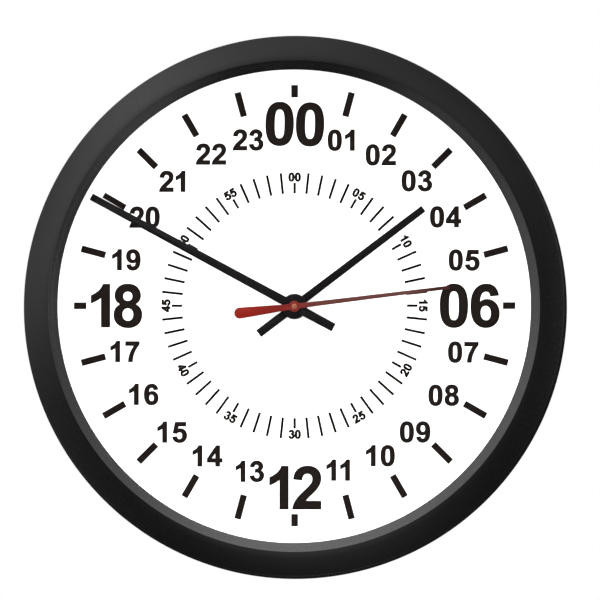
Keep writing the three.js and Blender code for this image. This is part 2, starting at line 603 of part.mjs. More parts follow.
const sweep = new THREE.Shape();
sweep.moveTo(-SEC_W_TAIL / 2 + 2.7, -SEC_TAIL);
sweep.lineTo(SEC_W_TAIL / 2 - 2.7, -SEC_TAIL);
sweep.quadraticCurveTo(SEC_W_TAIL / 2, -SEC_TAIL, SEC_W_TAIL / 2, -SEC_TAIL + 3.8);
sweep.lineTo(2.05, -7);
sweep.lineTo(SEC_W_HUB / 2, 6);
sweep.lineTo(SEC_W_TIP / 2, SEC_TIP);
sweep.lineTo(-SEC_W_TIP / 2, SEC_TIP);
sweep.lineTo(-SEC_W_HUB / 2, 6);
sweep.lineTo(-2.05, -7);
sweep.lineTo(-SEC_W_TAIL / 2, -SEC_TAIL + 3.8);
sweep.quadraticCurveTo(-SEC_W_TAIL / 2, -SEC_TAIL, -SEC_W_TAIL / 2 + 2.7, -SEC_TAIL);
add(
  "second_hand",
  cut(join(slab(sweep, ...SEC_F, 5), rod(SEC_HUB_R, ...SEC_F, 24)), rod(1.05, SEC_F[0] - 1, SEC_F[1] + 1, 16)),
  HAND_RED,
  hands,
  SEC_DEG,
);
add(
  "second_hand_pipe",
  turned(
    [
      [0, SEC_F[1] + 0.3], [0.52, SEC_F[1] + 0.3], [0.52, 31.0], [0.95, 31.0], [0.95, SEC_F[1] + 0.08],
      [1.6, SEC_F[1] + 0.08], [1.6, SEC_F[1] + 0.4], [1.2, SEC_F[1] + 0.75], [0, SEC_F[1] + 0.9],
    ],
    16,
  ),
  BRASS,
  hands,
);

export default clock;
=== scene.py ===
# Twenty-four hour wall clock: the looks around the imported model.
#
# Metres, +Z up; the clock faces -Y, the wall is y = 0. Lengths below are written in millimetres, with
# f the distance in front of the wall (y = -f) and (x, z) measured from the dial axis.

import math

import bmesh
import bpy
from mathutils import Matrix, Vector
from mathutils.geometry import tessellate_polygon

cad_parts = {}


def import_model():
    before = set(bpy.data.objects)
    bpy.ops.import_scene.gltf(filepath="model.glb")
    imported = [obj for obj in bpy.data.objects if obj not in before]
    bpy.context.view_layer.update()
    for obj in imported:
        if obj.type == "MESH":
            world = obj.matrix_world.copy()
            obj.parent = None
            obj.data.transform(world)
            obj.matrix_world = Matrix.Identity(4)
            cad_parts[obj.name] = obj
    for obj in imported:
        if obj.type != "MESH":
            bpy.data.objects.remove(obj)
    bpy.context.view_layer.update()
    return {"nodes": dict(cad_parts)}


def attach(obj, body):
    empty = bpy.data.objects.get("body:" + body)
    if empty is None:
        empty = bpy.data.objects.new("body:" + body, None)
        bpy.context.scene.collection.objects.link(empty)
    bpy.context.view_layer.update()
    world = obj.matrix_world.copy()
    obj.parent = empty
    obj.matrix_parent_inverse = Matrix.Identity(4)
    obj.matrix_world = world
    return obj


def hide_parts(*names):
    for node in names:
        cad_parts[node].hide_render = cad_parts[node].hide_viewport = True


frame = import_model()
NODES = frame["nodes"]
SCENE = bpy.context.scene

MM = 0.001
AXIS_Z = -140.0  # dial axis below the nail

# ------------------------------------------------------------------ dimensions (mm)

BEZEL_R = 177.8
CREST_R, CREST_F = 160.5, 44.96
OPENING_R, OPENING_F = 154.43, 40.0
LIP_F = 38.3
RIB_R, RIB_F = 161.2, 22.7
PLATE_R, PLATE_F0, PLATE_F1 = 172.8, 20.0, 22.4
SCREW_R = 168.9
DIAL_F = 23.1
INK = 0.06  # thickness of the printed ink
HOUR_DEG, MIN_DEG, SEC_DEG = 52.8, 298.4, 83.0
KNOB = (-17.003, -5.377)
COVER_F = 3.5  # rear face of the movement

# printed layout, from the middle of the print
PRINT_X, PRINT_Z = 0.0, 0.63
TICK_R0, TICK_R1, TICK_W, TICK_SHORT_R0 = 128.05, 144.35, 4.46, 136.15
TICK_TRIM = {20: (0.54, 0.11)}  # the tick that is printed narrower, and how far it is turned
MINUTE_R0, MINUTE_R1, MINUTE_SHORT_R1, MINUTE_W = 73.4, 87.2, 80.4, 1.73
MINUTE_NUMBER_R, MINUTE_NUMBER_H = 84.1, 5.4
SMALL_H, LARGE_H = 13.2, 27.55
# spacing of the pairs that differ from the rest, and how far a pair is turned
PAIRS = {0: (-5.5, 1.0), 6: (-5.9, 0.0), 12: (-16.2, 0.0), 18: (-18.4, 0.0), 11: (-10.4, 0.0), 13: (-4.0, 0.0), 19: (-4.0, 0.0), 21: (-4.0, 0.0)}
HOUR_PLACES = {
    0: (0.15, 118.70), 1: (30.45, 108.20), 2: (56.35, 98.60), 3: (79.95, 81.60), 4: (98.75, 58.00),
    5: (110.85, 29.80), 6: (114.45, -0.10), 7: (110.25, -30.40), 8: (97.45, -58.60), 9: (78.75, -82.60),
    10: (56.05, -98.10), 11: (28.45, -107.50), 12: (0.45, -118.90), 13: (-29.25, -108.30), 14: (-56.95, -98.20),
    15: (-80.05, -82.70), 16: (-98.65, -58.00), 17: (-110.95, -29.90), 18: (-116.45, -0.10), 19: (-110.05, 30.00),
    20: (-98.15, 57.90), 21: (-80.05, 81.40), 22: (-54.75, 99.20), 23: (-30.45, 108.40),
}

# ------------------------------------------------------------------ mesh helpers


def at(x, f, z):
    return Vector((x * MM, -f * MM, (AXIS_Z + z) * MM))


def finish_mesh(me, sharp_deg=28.0):
    bm = bmesh.new()
    bm.from_mesh(me)
    bmesh.ops.remove_doubles(bm, verts=bm.verts, dist=3e-7)
    bmesh.ops.recalc_face_normals(bm, faces=bm.faces)
    bm.to_mesh(me)
    bm.free()
    for p in me.polygons:
        p.use_smooth = True
    me.set_sharp_from_angle(angle=math.radians(sharp_deg))
    me.update()


def make(name, verts, faces, sharp_deg=28.0):
    me = bpy.data.meshes.new(name)
    me.from_pydata([tuple(v) for v in verts], [], faces)
    finish_mesh(me, sharp_deg)
    ob = bpy.data.objects.new(name, me)
    SCENE.collection.objects.link(ob)
    return ob


def piece(ob, body, slot, material, *stands_for):
    ob.data.materials.clear()
    ob.data.materials.append(material)
    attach(ob, body)
    if stands_for:
        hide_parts(*stands_for)
    return ob


class Build:
    """Collects vertices and faces of one piece."""

    def __init__(self):
        self.v, self.f = [], []

    def add(self, verts, faces):
        n = len(self.v)
        self.v.extend(verts)
        self.f.extend([tuple(i + n for i in f) for f in faces])
        return self

    def object(self, name, sharp_deg=28.0):
        return make(name, self.v, self.f, sharp_deg)


def rounded(points, steps=5):
    """Corner points (a, b, radius) of a closed outline, with each corner turned into an arc."""
    out = []
    n = len(points)
    for i in range(n):
        p = Vector(points[i][:2])
        r = points[i][2] if len(points[i]) > 2 else 0.0
        if r <= 0:
            out.append((p.x, p.y))
            continue
        a, b = Vector(points[i - 1][:2]), Vector(points[(i + 1) % n][:2])
        da, db = (a - p).normalized(), (b - p).normalized()
        angle = da.angle(db)
        if angle > math.radians(179.5):
            out.append((p.x, p.y))
            continue
        reach = min(r / math.tan(angle / 2), (a - p).length * 0.49, (b - p).length * 0.49)
        rr = reach * math.tan(angle / 2)
        centre = p + (da + db).normalized() * (rr / math.sin(angle / 2))
        s, e = p + da * reach - centre, p + db * reach - centre
        sweep = math.pi - angle
        turn = 1.0 if s.x * e.y - s.y * e.x > 0 else -1.0
        for k in range(steps + 1):
            t = turn * sweep * k / steps
            out.append((centre.x + s.x * math.cos(t) - s.y * math.sin(t), centre.y + s.x * math.sin(t) + s.y * math.cos(t)))
    return out


def lathe(profile, segments, centre=(0.0, 0.0), closed=True):
    """Turned about the Y line through centre; profile points are (r, f)."""
    x0, z0 = centre
    verts, rings = [], []
    for r, f in profile:
        if r < 1e-6:
            rings.append([len(verts)])
            verts.append(at(x0, f, z0))
        else:
            rings.append(list(range(len(verts), len(verts) + segments)))
            for k in range(segments):
                a = 2 * math.pi * k / segments
                verts.append(at(x0 + r * math.sin(a), f, z0 + r * math.cos(a)))
    faces = []
    pairs = list(zip(rings, rings[1:]))
    if closed:
        pairs.append((rings[-1], rings[0]))
    for a, b in pairs:
        if len(a) == 1 and len(b) == 1:
            continue
        for k in range(segments):
            j = (k + 1) % segments
            if len(a) == 1:
                faces.append((a[0], b[k], b[j]))
            elif len(b) == 1:
                faces.append((a[k], a[j], b[0]))
            else:
                faces.append((a[k], a[j], b[j], b[k]))
    return verts, faces


def lathe_x(profile, segments, f, z):
    """Turned about a line along X; profile points are (r, x) and start and end on the axis."""
    verts, rings = [], []
    for r, x in profile:
        if r < 1e-6:
            rings.append([len(verts)])
            verts.append(at(x, f, z))
        else:
            rings.append(list(range(len(verts), len(verts) + segments)))
            for k in range(segments):
                a = 2 * math.pi * k / segments
                verts.append(at(x, f + r * math.cos(a), z + r * math.sin(a)))
    faces = []
    for a, b in zip(rings, rings[1:]):
        for k in range(segments):
            j = (k + 1) % segments
            if len(a) == 1:
                faces.append((a[0], b[k], b[j]))
            elif len(b) == 1:
                faces.append((a[k], a[j], b[0]))
            else:
                faces.append((a[k], a[j], b[j], b[k]))
    return verts, faces


def area(loop):
    return 0.5 * sum(a[0] * b[1] - b[0] * a[1] for a, b in zip(loop, loop[1:] + loop[:1]))


def inset(loop, d, sharpest=0.35):
    """A closed anticlockwise loop moved inwards by d (a clockwise hole grows)."""
    out = []
    n = len(loop)
    for i in range(n):
        p, a, b = Vector(loop[i]), Vector(loop[i - 1]), Vector(loop[(i + 1) % n])
        e1, e2 = (p - a), (b - p)
        if e1.length < 1e-9 or e2.length < 1e-9:
            out.append((p.x, p.y))
            continue
        n1 = Vector((-e1.y, e1.x)).normalized()
        n2 = Vector((-e2.y, e2.x)).normalized()
        m = n1 + n2
        m = m / max(m.dot(m) / 2.0, sharpest) if m.length > 1e-6 else n1
        out.append((p.x + m.x * d, p.y + m.y * d))
    return out


def turned_right(loops):
    """The outline anticlockwise and its holes clockwise."""
    return [list(loop) if (area(loop) > 0) == (i == 0) else list(loop)[::-1] for i, loop in enumerate(loops)]


def swell(loops, d):
    """An outline and its holes with the material grown by d, without the folds that tight inside corners would make."""
    out = []
    for loop in turned_right(loops):
        sides = [(Vector(a), Vector(b) - Vector(a)) for a, b in zip(loop, loop[1:] + loop[:1]) if math.dist(a, b) > 1e-9]
        kept = []
        for q in inset(loop, -d, 0.08):
            q = Vector(q)
            gap = min((q - a - e * min(max((q - a).dot(e) / e.dot(e), 0.0), 1.0)).length for a, e in sides)
            if gap > 0.96 * d:
                kept.append((q.x, q.y))
        out.append(kept)
    return out


def plate(loops, levels):
    """A solid from an outline and its holes, in (x, z); levels are (f, inset) from back to front."""
    loops = turned_right(loops)
    verts, faces = [], []
    starts = []
    for f, d in levels:
        rows = []
        for loop in loops:
            rows.append(len(verts))
            verts.extend(at(x, f, z) for x, z in (inset(loop, d) if d else loop))
        starts.append(rows)
    for lo, hi in zip(starts, starts[1:]):
        for li, loop in enumerate(loops):
            n = len(loop)
            for k in range(n):
                j = (k + 1) % n
                faces.append((lo[li] + k, lo[li] + j, hi[li] + j, hi[li] + k))
    for rows, (f, d), flip in ((starts[0], levels[0], True), (starts[-1], levels[-1], False)):
        flat = [[Vector((x, z, 0.0)) for x, z in (inset(loop, d) if d else loop)] for loop in loops]
        base = []
        for li, loop in enumerate(loops):
            base.extend(rows[li] + k for k in range(len(loop)))
        for tri in tessellate_polygon(flat):
            t = tuple(base[i] for i in tri)
            faces.append(t[::-1] if flip else t)
    return verts, faces


def box_mesh(x0, x1, f0, f1, z0, z1, turn_deg=0.0, ease=0.0):
    """A block, with its edges eased, turned clockwise about the dial axis as seen from the front."""
    bm = bmesh.new()
    bmesh.ops.create_cube(bm, size=1.0)
    for v in bm.verts:
        v.co = Vector((x0 + (v.co.x + 0.5) * (x1 - x0), f0 + (v.co.y + 0.5) * (f1 - f0), z0 + (v.co.z + 0.5) * (z1 - z0)))
    if ease:
        bmesh.ops.bevel(bm, geom=bm.edges[:], offset=ease, segments=2, profile=0.6, affect="EDGES", clamp_overlap=True)
    a = math.radians(turn_deg)
    bm.verts.ensure_lookup_table()
    bm.verts.index_update()
    verts = []
    for v in bm.verts:
        x, f, z = v.co
        verts.append(at(x * math.cos(a) + z * math.sin(a), f, -x * math.sin(a) + z * math.cos(a)))
    faces = [tuple(v.index for v in face.verts) for face in bm.faces]
    bm.free()
    return verts, faces


def circle(r, n, cx=0.0, cz=0.0):
    return [(cx + r * math.cos(2 * math.pi * k / n), cz + r * math.sin(2 * math.pi * k / n)) for k in range(n)]


def carve(ob, *tools):
    """Cuts the tool objects out of ob and removes them."""
    for t in tools:
        m = ob.modifiers.new("cut", "BOOLEAN")
        m.object, m.operation, m.solver = t, "DIFFERENCE", "EXACT"
    bpy.context.view_layer.update()
    me = bpy.data.meshes.new_from_object(ob.evaluated_get(bpy.context.evaluated_depsgraph_get()))
    ob.modifiers.clear()
    old, ob.data = ob.data, me
    me.name = old.name
    bpy.data.meshes.remove(old)
    for t in tools:
        data = t.data
        bpy.data.objects.remove(t)
        bpy.data.meshes.remove(data)
    return ob


def eased_copy(node, name, width, segments=2, sharp_deg=30.0):
    """The node's shape with its sharp edges eased, as a new object."""
    me = NODES[node].data.copy()
    me.name = name
    bm = bmesh.new()
    bm.from_mesh(me)
    bmesh.ops.remove_doubles(bm, verts=bm.verts, dist=1e-6)
    bmesh.ops.dissolve_limit(bm, angle_limit=math.radians(0.6), verts=bm.verts, edges=bm.edges)
    edges = [e for e in bm.edges if len(e.link_faces) == 2 and e.calc_face_angle(0.0) > math.radians(sharp_deg)]
    bmesh.ops.bevel(bm, geom=edges, offset=width * MM, segments=segments, profile=0.6, affect="EDGES", clamp_overlap=True)
    bm.to_mesh(me)
    bm.free()
    finish_mesh(me, 34.0)
    ob = bpy.data.objects.new(name, me)
    SCENE.collection.objects.link(ob)
    return ob


# ------------------------------------------------------------------ materials


def material(name):
    m = bpy.data.materials.new(name)
    m.use_nodes = True
    nt = m.node_tree
    nt.nodes.clear()
    out = nt.nodes.new("ShaderNodeOutputMaterial")
    shader = nt.nodes.new("ShaderNodeBsdfPrincipled")
    nt.links.new(shader.outputs["BSDF"], out.inputs["Surface"])
    return m, nt, shader


def noise(nt, scale, detail=3.0, roughness=0.55, stretch=None):
    coord = nt.nodes.new("ShaderNodeTexCoord")
    src = coord.outputs["Object"]
    if stretch:
        mapping = nt.nodes.new("ShaderNodeMapping")
        mapping.inputs["Scale"].default_value = stretch
        nt.links.new(src, mapping.inputs["Vector"])
        src = mapping.outputs["Vector"]
    n = nt.nodes.new("ShaderNodeTexNoise")
    n.inputs["Scale"].default_value = scale
    n.inputs["Detail"].default_value = detail
    n.inputs["Roughness"].default_value = roughness
    nt.links.new(src, n.inputs["Vector"])
    return n.outputs["Fac"]


def ramp(nt, fac, *stops):
    r = nt.nodes.new("ShaderNodeValToRGB")
    els = r.color_ramp.elements
    while len(els) < len(stops):
        els.new(0.5)
    for e, (pos, col) in zip(els, stops):
        e.position = pos
        e.color = (*col, 1.0)
    nt.links.new(fac, r.inputs["Fac"])
    return r.outputs["Color"]


def span(nt, fac, lo, hi, f0=0.3, f1=0.7):
    m = nt.nodes.new("ShaderNodeMapRange")
    for key, value in (("From Min", f0), ("From Max", f1), ("To Min", lo), ("To Max", hi)):
        m.inputs[key].default_value = value
    nt.links.new(fac, m.inputs["Value"])
    return m.outputs["Result"]


def bump(nt, shader, fac, strength, distance):
    b = nt.nodes.new("ShaderNodeBump")
    b.inputs["Strength"].default_value = strength
    b.inputs["Distance"].default_value = distance
    nt.links.new(fac, b.inputs["Height"])
    nt.links.new(b.outputs["Normal"], shader.inputs["Normal"])


def moulded(name, dark, light, rough, grain=1800.0, depth=0.00003, strength=0.5, level=0.5, patch=60.0):
    """Moulded or painted surface: faint patches of colour, uneven gloss and a fine grain."""
    m, nt, s = material(name)
    patches = noise(nt, patch, 4.0)
    nt.links.new(ramp(nt, patches, (0.3, dark), (0.7, light)), s.inputs["Base Color"])
    fine = noise(nt, grain, 2.0, 0.6)
    nt.links.new(span(nt, fine, rough - 0.06, rough + 0.06), s.inputs["Roughness"])
    bump(nt, s, fine, strength, depth)
    s.inputs["Specular IOR Level"].default_value = level
    return m


def metal(name, dark, light, rough, stretch=(1.0, 1.0, 1.0), grain=2200.0, depth=0.00001, strength=0.3, patch=120.0):
    m, nt, s = material(name)
    patches = noise(nt, patch, 4.0)
    nt.links.new(ramp(nt, patches, (0.3, dark), (0.7, light)), s.inputs["Base Color"])
    fine = noise(nt, grain, 3.0, 0.6, stretch)
    nt.links.new(span(nt, fine, rough - 0.07, rough + 0.07), s.inputs["Roughness"])
    bump(nt, s, fine, strength, depth)
    s.inputs["Metallic"].default_value = 1.0
    return m


M_CASE = moulded("case_black_abs", (0.00068, 0.00068, 0.00077), (0.00094, 0.00094, 0.00103), 0.24, 1500.0, 0.00004, 0.2, 0.133)
M_BACK = moulded("back_black_moulded", (0.016, 0.016, 0.017), (0.021, 0.021, 0.022), 0.58, 1200.0, 0.00005, 0.5, 0.4)
M_DIAL = moulded("dial_white_coat", (0.92, 0.92, 0.919), (0.935, 0.935, 0.934), 0.62, 2600.0, 0.000006, 0.15, 0.25, 18.0)
M_INK = moulded("dial_ink", (0.0040, 0.0022, 0.0015), (0.0046, 0.0025, 0.0017), 0.6, 3000.0, 0.000004, 0.2, 0.053, 300.0)
M_WHITE = moulded("white_moulded", (0.78, 0.78, 0.76), (0.82, 0.82, 0.80), 0.45, 1600.0, 0.00002, 0.3, 0.4)
M_KNOB = moulded("knob_pale_moulded", (0.30, 0.30, 0.29), (0.34, 0.34, 0.33), 0.42, 1600.0, 0.00003, 0.35, 0.4)
M_HAND = moulded("hand_black_lacquer", (0.0014, 0.0009, 0.0013), (0.0018, 0.0012, 0.0018), 0.42, 2400.0, 0.000008, 0.3, 0.064, 200.0)
M_BRASS = metal("brass_turned", (0.58, 0.36, 0.17), (0.66, 0.43, 0.21), 0.33)
M_PIN = metal("bronze_pin", (0.168, 0.058, 0.033), (0.218, 0.077, 0.046), 0.46)
M_STEEL = metal("zinc_plated_steel", (0.50, 0.51, 0.52), (0.60, 0.61, 0.62), 0.34)
M_SHEET = metal("zinc_plated_sheet", (0.46, 0.47, 0.49), (0.58, 0.59, 0.61), 0.38, (0.15, 1.0, 1.0), 2600.0)
M_MOVE = moulded("movement_black_moulded", (0.013, 0.013, 0.014), (0.017, 0.017, 0.018), 0.44, 1500.0, 0.00003, 0.45, 0.45)
M_TRAIN = moulded("acetal_natural", (0.74, 0.72, 0.64), (0.80, 0.78, 0.70), 0.42, 1800.0, 0.00001, 0.25, 0.45)
M_RUBBER = moulded("rubber_black", (0.010, 0.010, 0.010), (0.014, 0.014, 0.014), 0.82, 2200.0, 0.00003, 0.5, 0.3)
M_COPPER = metal("enamelled_copper", (0.44, 0.14, 0.05), (0.55, 0.20, 0.08), 0.32, (14.0, 1.0, 1.0), 900.0, 0.00006, 0.8)
M_MAGNET = moulded("sintered_magnet", (0.07, 0.07, 0.075), (0.10, 0.10, 0.105), 0.5, 2500.0, 0.00003, 0.5, 0.5)
M_BOARD = moulded("board_solder_mask", (0.022, 0.10, 0.036), (0.032, 0.13, 0.05), 0.4, 1500.0, 0.00002, 0.3, 0.5)
M_CHIP = moulded("chip_epoxy", (0.010, 0.010, 0.010), (0.014, 0.014, 0.014), 0.35, 1800.0, 0.00003, 0.4, 0.5)


def red_lacquer():
    """Red lacquer, brightest on the tail with a lighter patch on the hub, darker and browner along the front of the
    hand and darkest at the tip.
    """
    m, nt, s = material("hand_red_lacquer")
    coord = nt.nodes.new("ShaderNodeTexCoord")
    along = nt.nodes.new("ShaderNodeVectorMath")
    along.operation = "DOT_PRODUCT"
    a = math.radians(SEC_DEG)
    along.inputs[1].default_value = (math.sin(a), 0.0, math.cos(a))
    off = nt.nodes.new("ShaderNodeVectorMath")
    off.operation = "SUBTRACT"
    off.inputs[1].default_value = (0.0, 0.0, AXIS_Z * MM)
    nt.links.new(coord.outputs["Object"], off.inputs[0])
    nt.links.new(off.outputs["Vector"], along.inputs[0])
    place = span(nt, along.outputs["Value"], 0.0, 1.0, -0.040, 0.104)
    base = ramp(nt, place, (0.0, (0.1185, 0.0048, 0.0021)), (0.08, (0.1138, 0.0048, 0.0021)), (0.20, (0.0855, 0.0050, 0.0033)), (0.26, (0.0957, 0.0096, 0.0074)), (0.30, (0.0957, 0.0102, 0.0080)), (0.34, (0.0645, 0.0124, 0.0112)), (0.40, (0.0539, 0.0156, 0.0127)), (0.80, (0.0548, 0.0194, 0.0172)), (0.93, (0.0231, 0.0064, 0.0053)), (1.0, (0.0215, 0.0055, 0.0045)))
    mottle = noise(nt, 700.0, 3.0)
    mix = nt.nodes.new("ShaderNodeMix")
    mix.data_type, mix.blend_type = "RGBA", "MULTIPLY"
    mix.inputs["Factor"].default_value = 1.0
    nt.links.new(base, mix.inputs["A"])
    nt.links.new(ramp(nt, mottle, (0.3, (0.93, 0.93, 0.93)), (0.7, (1.0, 1.0, 1.0))), mix.inputs["B"])
    nt.links.new(mix.outputs["Result"], s.inputs["Base Color"])
    fine = noise(nt, 2400.0, 2.0)
    nt.links.new(span(nt, fine, 0.36, 0.46), s.inputs["Roughness"])
    bump(nt, s, fine, 0.3, 0.000008)
    s.inputs["Specular IOR Level"].default_value = 0.073
    return m


def lens_glass():
    """Flat coated glass: straight through, with a reflection that stays weak until near grazing, on its outer side."""
    m, nt, s = material("lens_clear_glass")
    nt.nodes.remove(s)
    out = next(n for n in nt.nodes if n.type == "OUTPUT_MATERIAL")
    clear = nt.nodes.new("ShaderNodeBsdfTransparent")
    clear.inputs["Color"].default_value = (0.992, 0.997, 0.994, 1.0)
    gloss = nt.nodes.new("ShaderNodeBsdfGlossy")
    gloss.inputs["Color"].default_value = (1.0, 1.0, 1.0, 1.0)
    gloss.inputs["Roughness"].default_value = 0.02
    fres = nt.nodes.new("ShaderNodeFresnel")
    fres.inputs["IOR"].default_value = 1.42
    geo = nt.nodes.new("ShaderNodeNewGeometry")
    front = nt.nodes.new("ShaderNodeMath")
    front.operation = "SUBTRACT"
    front.inputs[0].default_value = 1.0
    nt.links.new(geo.outputs["Backfacing"], front.inputs[1])
    fac = nt.nodes.new("ShaderNodeMath")
    fac.operation = "MULTIPLY"
    coat = nt.nodes.new("ShaderNodeMath")
    coat.operation, coat.use_clamp = "MULTIPLY", True
    coat.inputs[1].default_value = 2.6
    nt.links.new(fres.outputs["Fac"], coat.inputs[0])
    weak = nt.nodes.new("ShaderNodeMath")
    weak.operation = "MULTIPLY"
    nt.links.new(fres.outputs["Fac"], weak.inputs[0])
    nt.links.new(coat.outputs["Value"], weak.inputs[1])
    nt.links.new(weak.outputs["Value"], fac.inputs[0])
    nt.links.new(front.outputs["Value"], fac.inputs[1])
    mix = nt.nodes.new("ShaderNodeMixShader")
    nt.links.new(fac.outputs["Value"], mix.inputs["Fac"])
    nt.links.new(clear.outputs["BSDF"], mix.inputs[1])
    nt.links.new(gloss.outputs["BSDF"], mix.inputs[2])
    nt.links.new(mix.outputs["Shader"], out.inputs["Surface"])
    return m


def cell_sleeve():
    """Plain battery sleeve: a grey film with a pale band by the positive end and bare metal ends."""
    m, nt, s = material("battery_sleeve")
    coord = nt.nodes.new("ShaderNodeTexCoord")
    xyz = nt.nodes.new("ShaderNodeSeparateXYZ")
    nt.links.new(coord.outputs["Object"], xyz.inputs["Vector"])
    place = span(nt, xyz.outputs["X"], 0.0, 1.0, -0.0243, 0.0262)
    col = ramp(
        nt, place,
        (0.0, (0.46, 0.46, 0.46)), (0.018, (0.46, 0.46, 0.46)), (0.022, (0.05, 0.055, 0.065)), (0.74, (0.05, 0.055, 0.065)),
        (0.745, (0.29, 0.29, 0.28)), (0.925, (0.29, 0.29, 0.28)), (0.93, (0.46, 0.46, 0.46)), (1.0, (0.5, 0.5, 0.5)),
    )
    nt.links.new(col, s.inputs["Base Color"])
    met = ramp(nt, place, (0.0, (1.0,) * 3), (0.018, (1.0,) * 3), (0.022, (0.0,) * 3), (0.925, (0.0,) * 3), (0.93, (1.0,) * 3))
    nt.links.new(met, s.inputs["Metallic"])
    fine = noise(nt, 1800.0, 2.0)
    nt.links.new(span(nt, fine, 0.26, 0.36), s.inputs["Roughness"])
    bump(nt, s, fine, 0.2, 0.00001)
    return m


M_RED = red_lacquer()
M_LENS = lens_glass()
M_CELL = cell_sleeve()

# ------------------------------------------------------------------ bezel


def bezel_profile():
    wall_r, wall_f = BEZEL_R - 1.6, 40.1
    outer = rounded([(174.8, 0.0, 0.3), (177.5, 0.0, 0.5), (BEZEL_R + 0.18, 0.9, 0.4), (BEZEL_R - 0.75, 20.0), (wall_r + 0.02, wall_f)], 4)
    # the band slopes out more and more from its crest, then turns over a small shoulder into the drafted wall
    band = []
    r, f, n = CREST_R + 0.03, CREST_F, 34
    r_end = wall_r - 0.13
    step = (r_end - r) / n
    for k in range(n + 1):
        band.append((r, f))
        t = (r + step / 2 - 161.1) / 13.6
        a = math.radians(11.5 + 3.5 * min(max(t, 0.0) / 0.25, 1.0) + 3.98 * max(t - 0.12, 0.0))
        f -= math.tan(a) * step
        r += step
    band.insert(1, (CREST_R + 0.12, CREST_F - 0.09 * math.tan(math.radians(11.5))))
    r0, f0 = band[-1]
    back = math.tan(math.radians(18.9)) * 0.08
    band.insert(-1, (r0 - 0.08, f0 + back))
    # a sharp shoulder, eased by 0.2 mm
    a0, a1, rad = math.radians(19.0), math.radians(87.6), 0.19
    cx, cf = wall_r - rad * math.sin(a1), f0 - rad * math.cos(a0)
    shoulder = [(cx + rad * math.sin(a0 + (a1 - a0) * k / 4), cf + rad * math.cos(a0 + (a1 - a0) * k / 4)) for k in range(1, 5)]
    front = shoulder[::-1] + band[::-1]
    # the bevel keeps its slope right up to the crest and down to the opening
    half_r, half_f = 157.4, OPENING_F + math.tan(math.radians(40.0)) * (157.4 - OPENING_R)
    rise = (CREST_F - half_f) / (CREST_R - half_r)
    inner = rounded(
        [
            (CREST_R - 0.06, CREST_F - 0.03),
            (CREST_R - 0.2, half_f + rise * (CREST_R - 0.2 - half_r)),
            (half_r + 0.5, half_f + rise * 0.5),
            (half_r - 0.5, half_f - math.tan(math.radians(40.0)) * 0.5),
            (OPENING_R + 0.3, OPENING_F + math.tan(math.radians(40.0)) * 0.3),
            (OPENING_R, OPENING_F, 0.1),
            (OPENING_R, LIP_F, 0.12),
            (RIB_R, LIP_F, 0.2),
            (RIB_R, RIB_F, 0.3),
            (RIB_R + 2.6, RIB_F, 0.3),
            (RIB_R + 3.0, 41.4, 1.0),
            (170.8, 40.6, 1.5),
            (173.6, 37.4, 2.5),
            (174.6, 10.0),
        ],
        4,
    )
    return outer + front + inner


shell = Build().add(*lathe(bezel_profile(), 288))
for k in range(6):
    deg = 30 + 60 * k
    a = math.radians(deg)
    place = (SCREW_R * math.sin(a), SCREW_R * math.cos(a))
    shell.add(*lathe([(1.65, RIB_F), (3.1, RIB_F), (3.4, RIB_F + 0.3), (3.4, 41.2), (0.0, 41.2), (0.0, 33.0), (1.65, 33.0)], 28, place, closed=True))
    shell.add(*box_mesh(-0.8, 0.8, RIB_F + 1.2, 39.0, RIB_R + 1.6, 174.9, deg, 0.15))
piece(shell.object("bezel_shell", 32.0), "case", "case_black", M_CASE, "front_bezel")

# ------------------------------------------------------------------ dial, lens and spacer


def dress(node, mat):
    ob = NODES[node]
    ob.data.materials.clear()
    ob.data.materials.append(mat)
    return ob


dress("dial", M_DIAL)
dress("lens", M_LENS)

spacer = Build().add(*lathe(rounded([(157.2, 23.3, 0.3), (160.5, 23.3, 0.3), (160.5, 35.8, 0.3), (157.2, 35.8, 0.3)], 3), 240))
piece(spacer.object("dial_spacer", 30.0), "case", "white_plastic", M_WHITE, "dial_spacer_ring")

# ------------------------------------------------------------------ printed figures

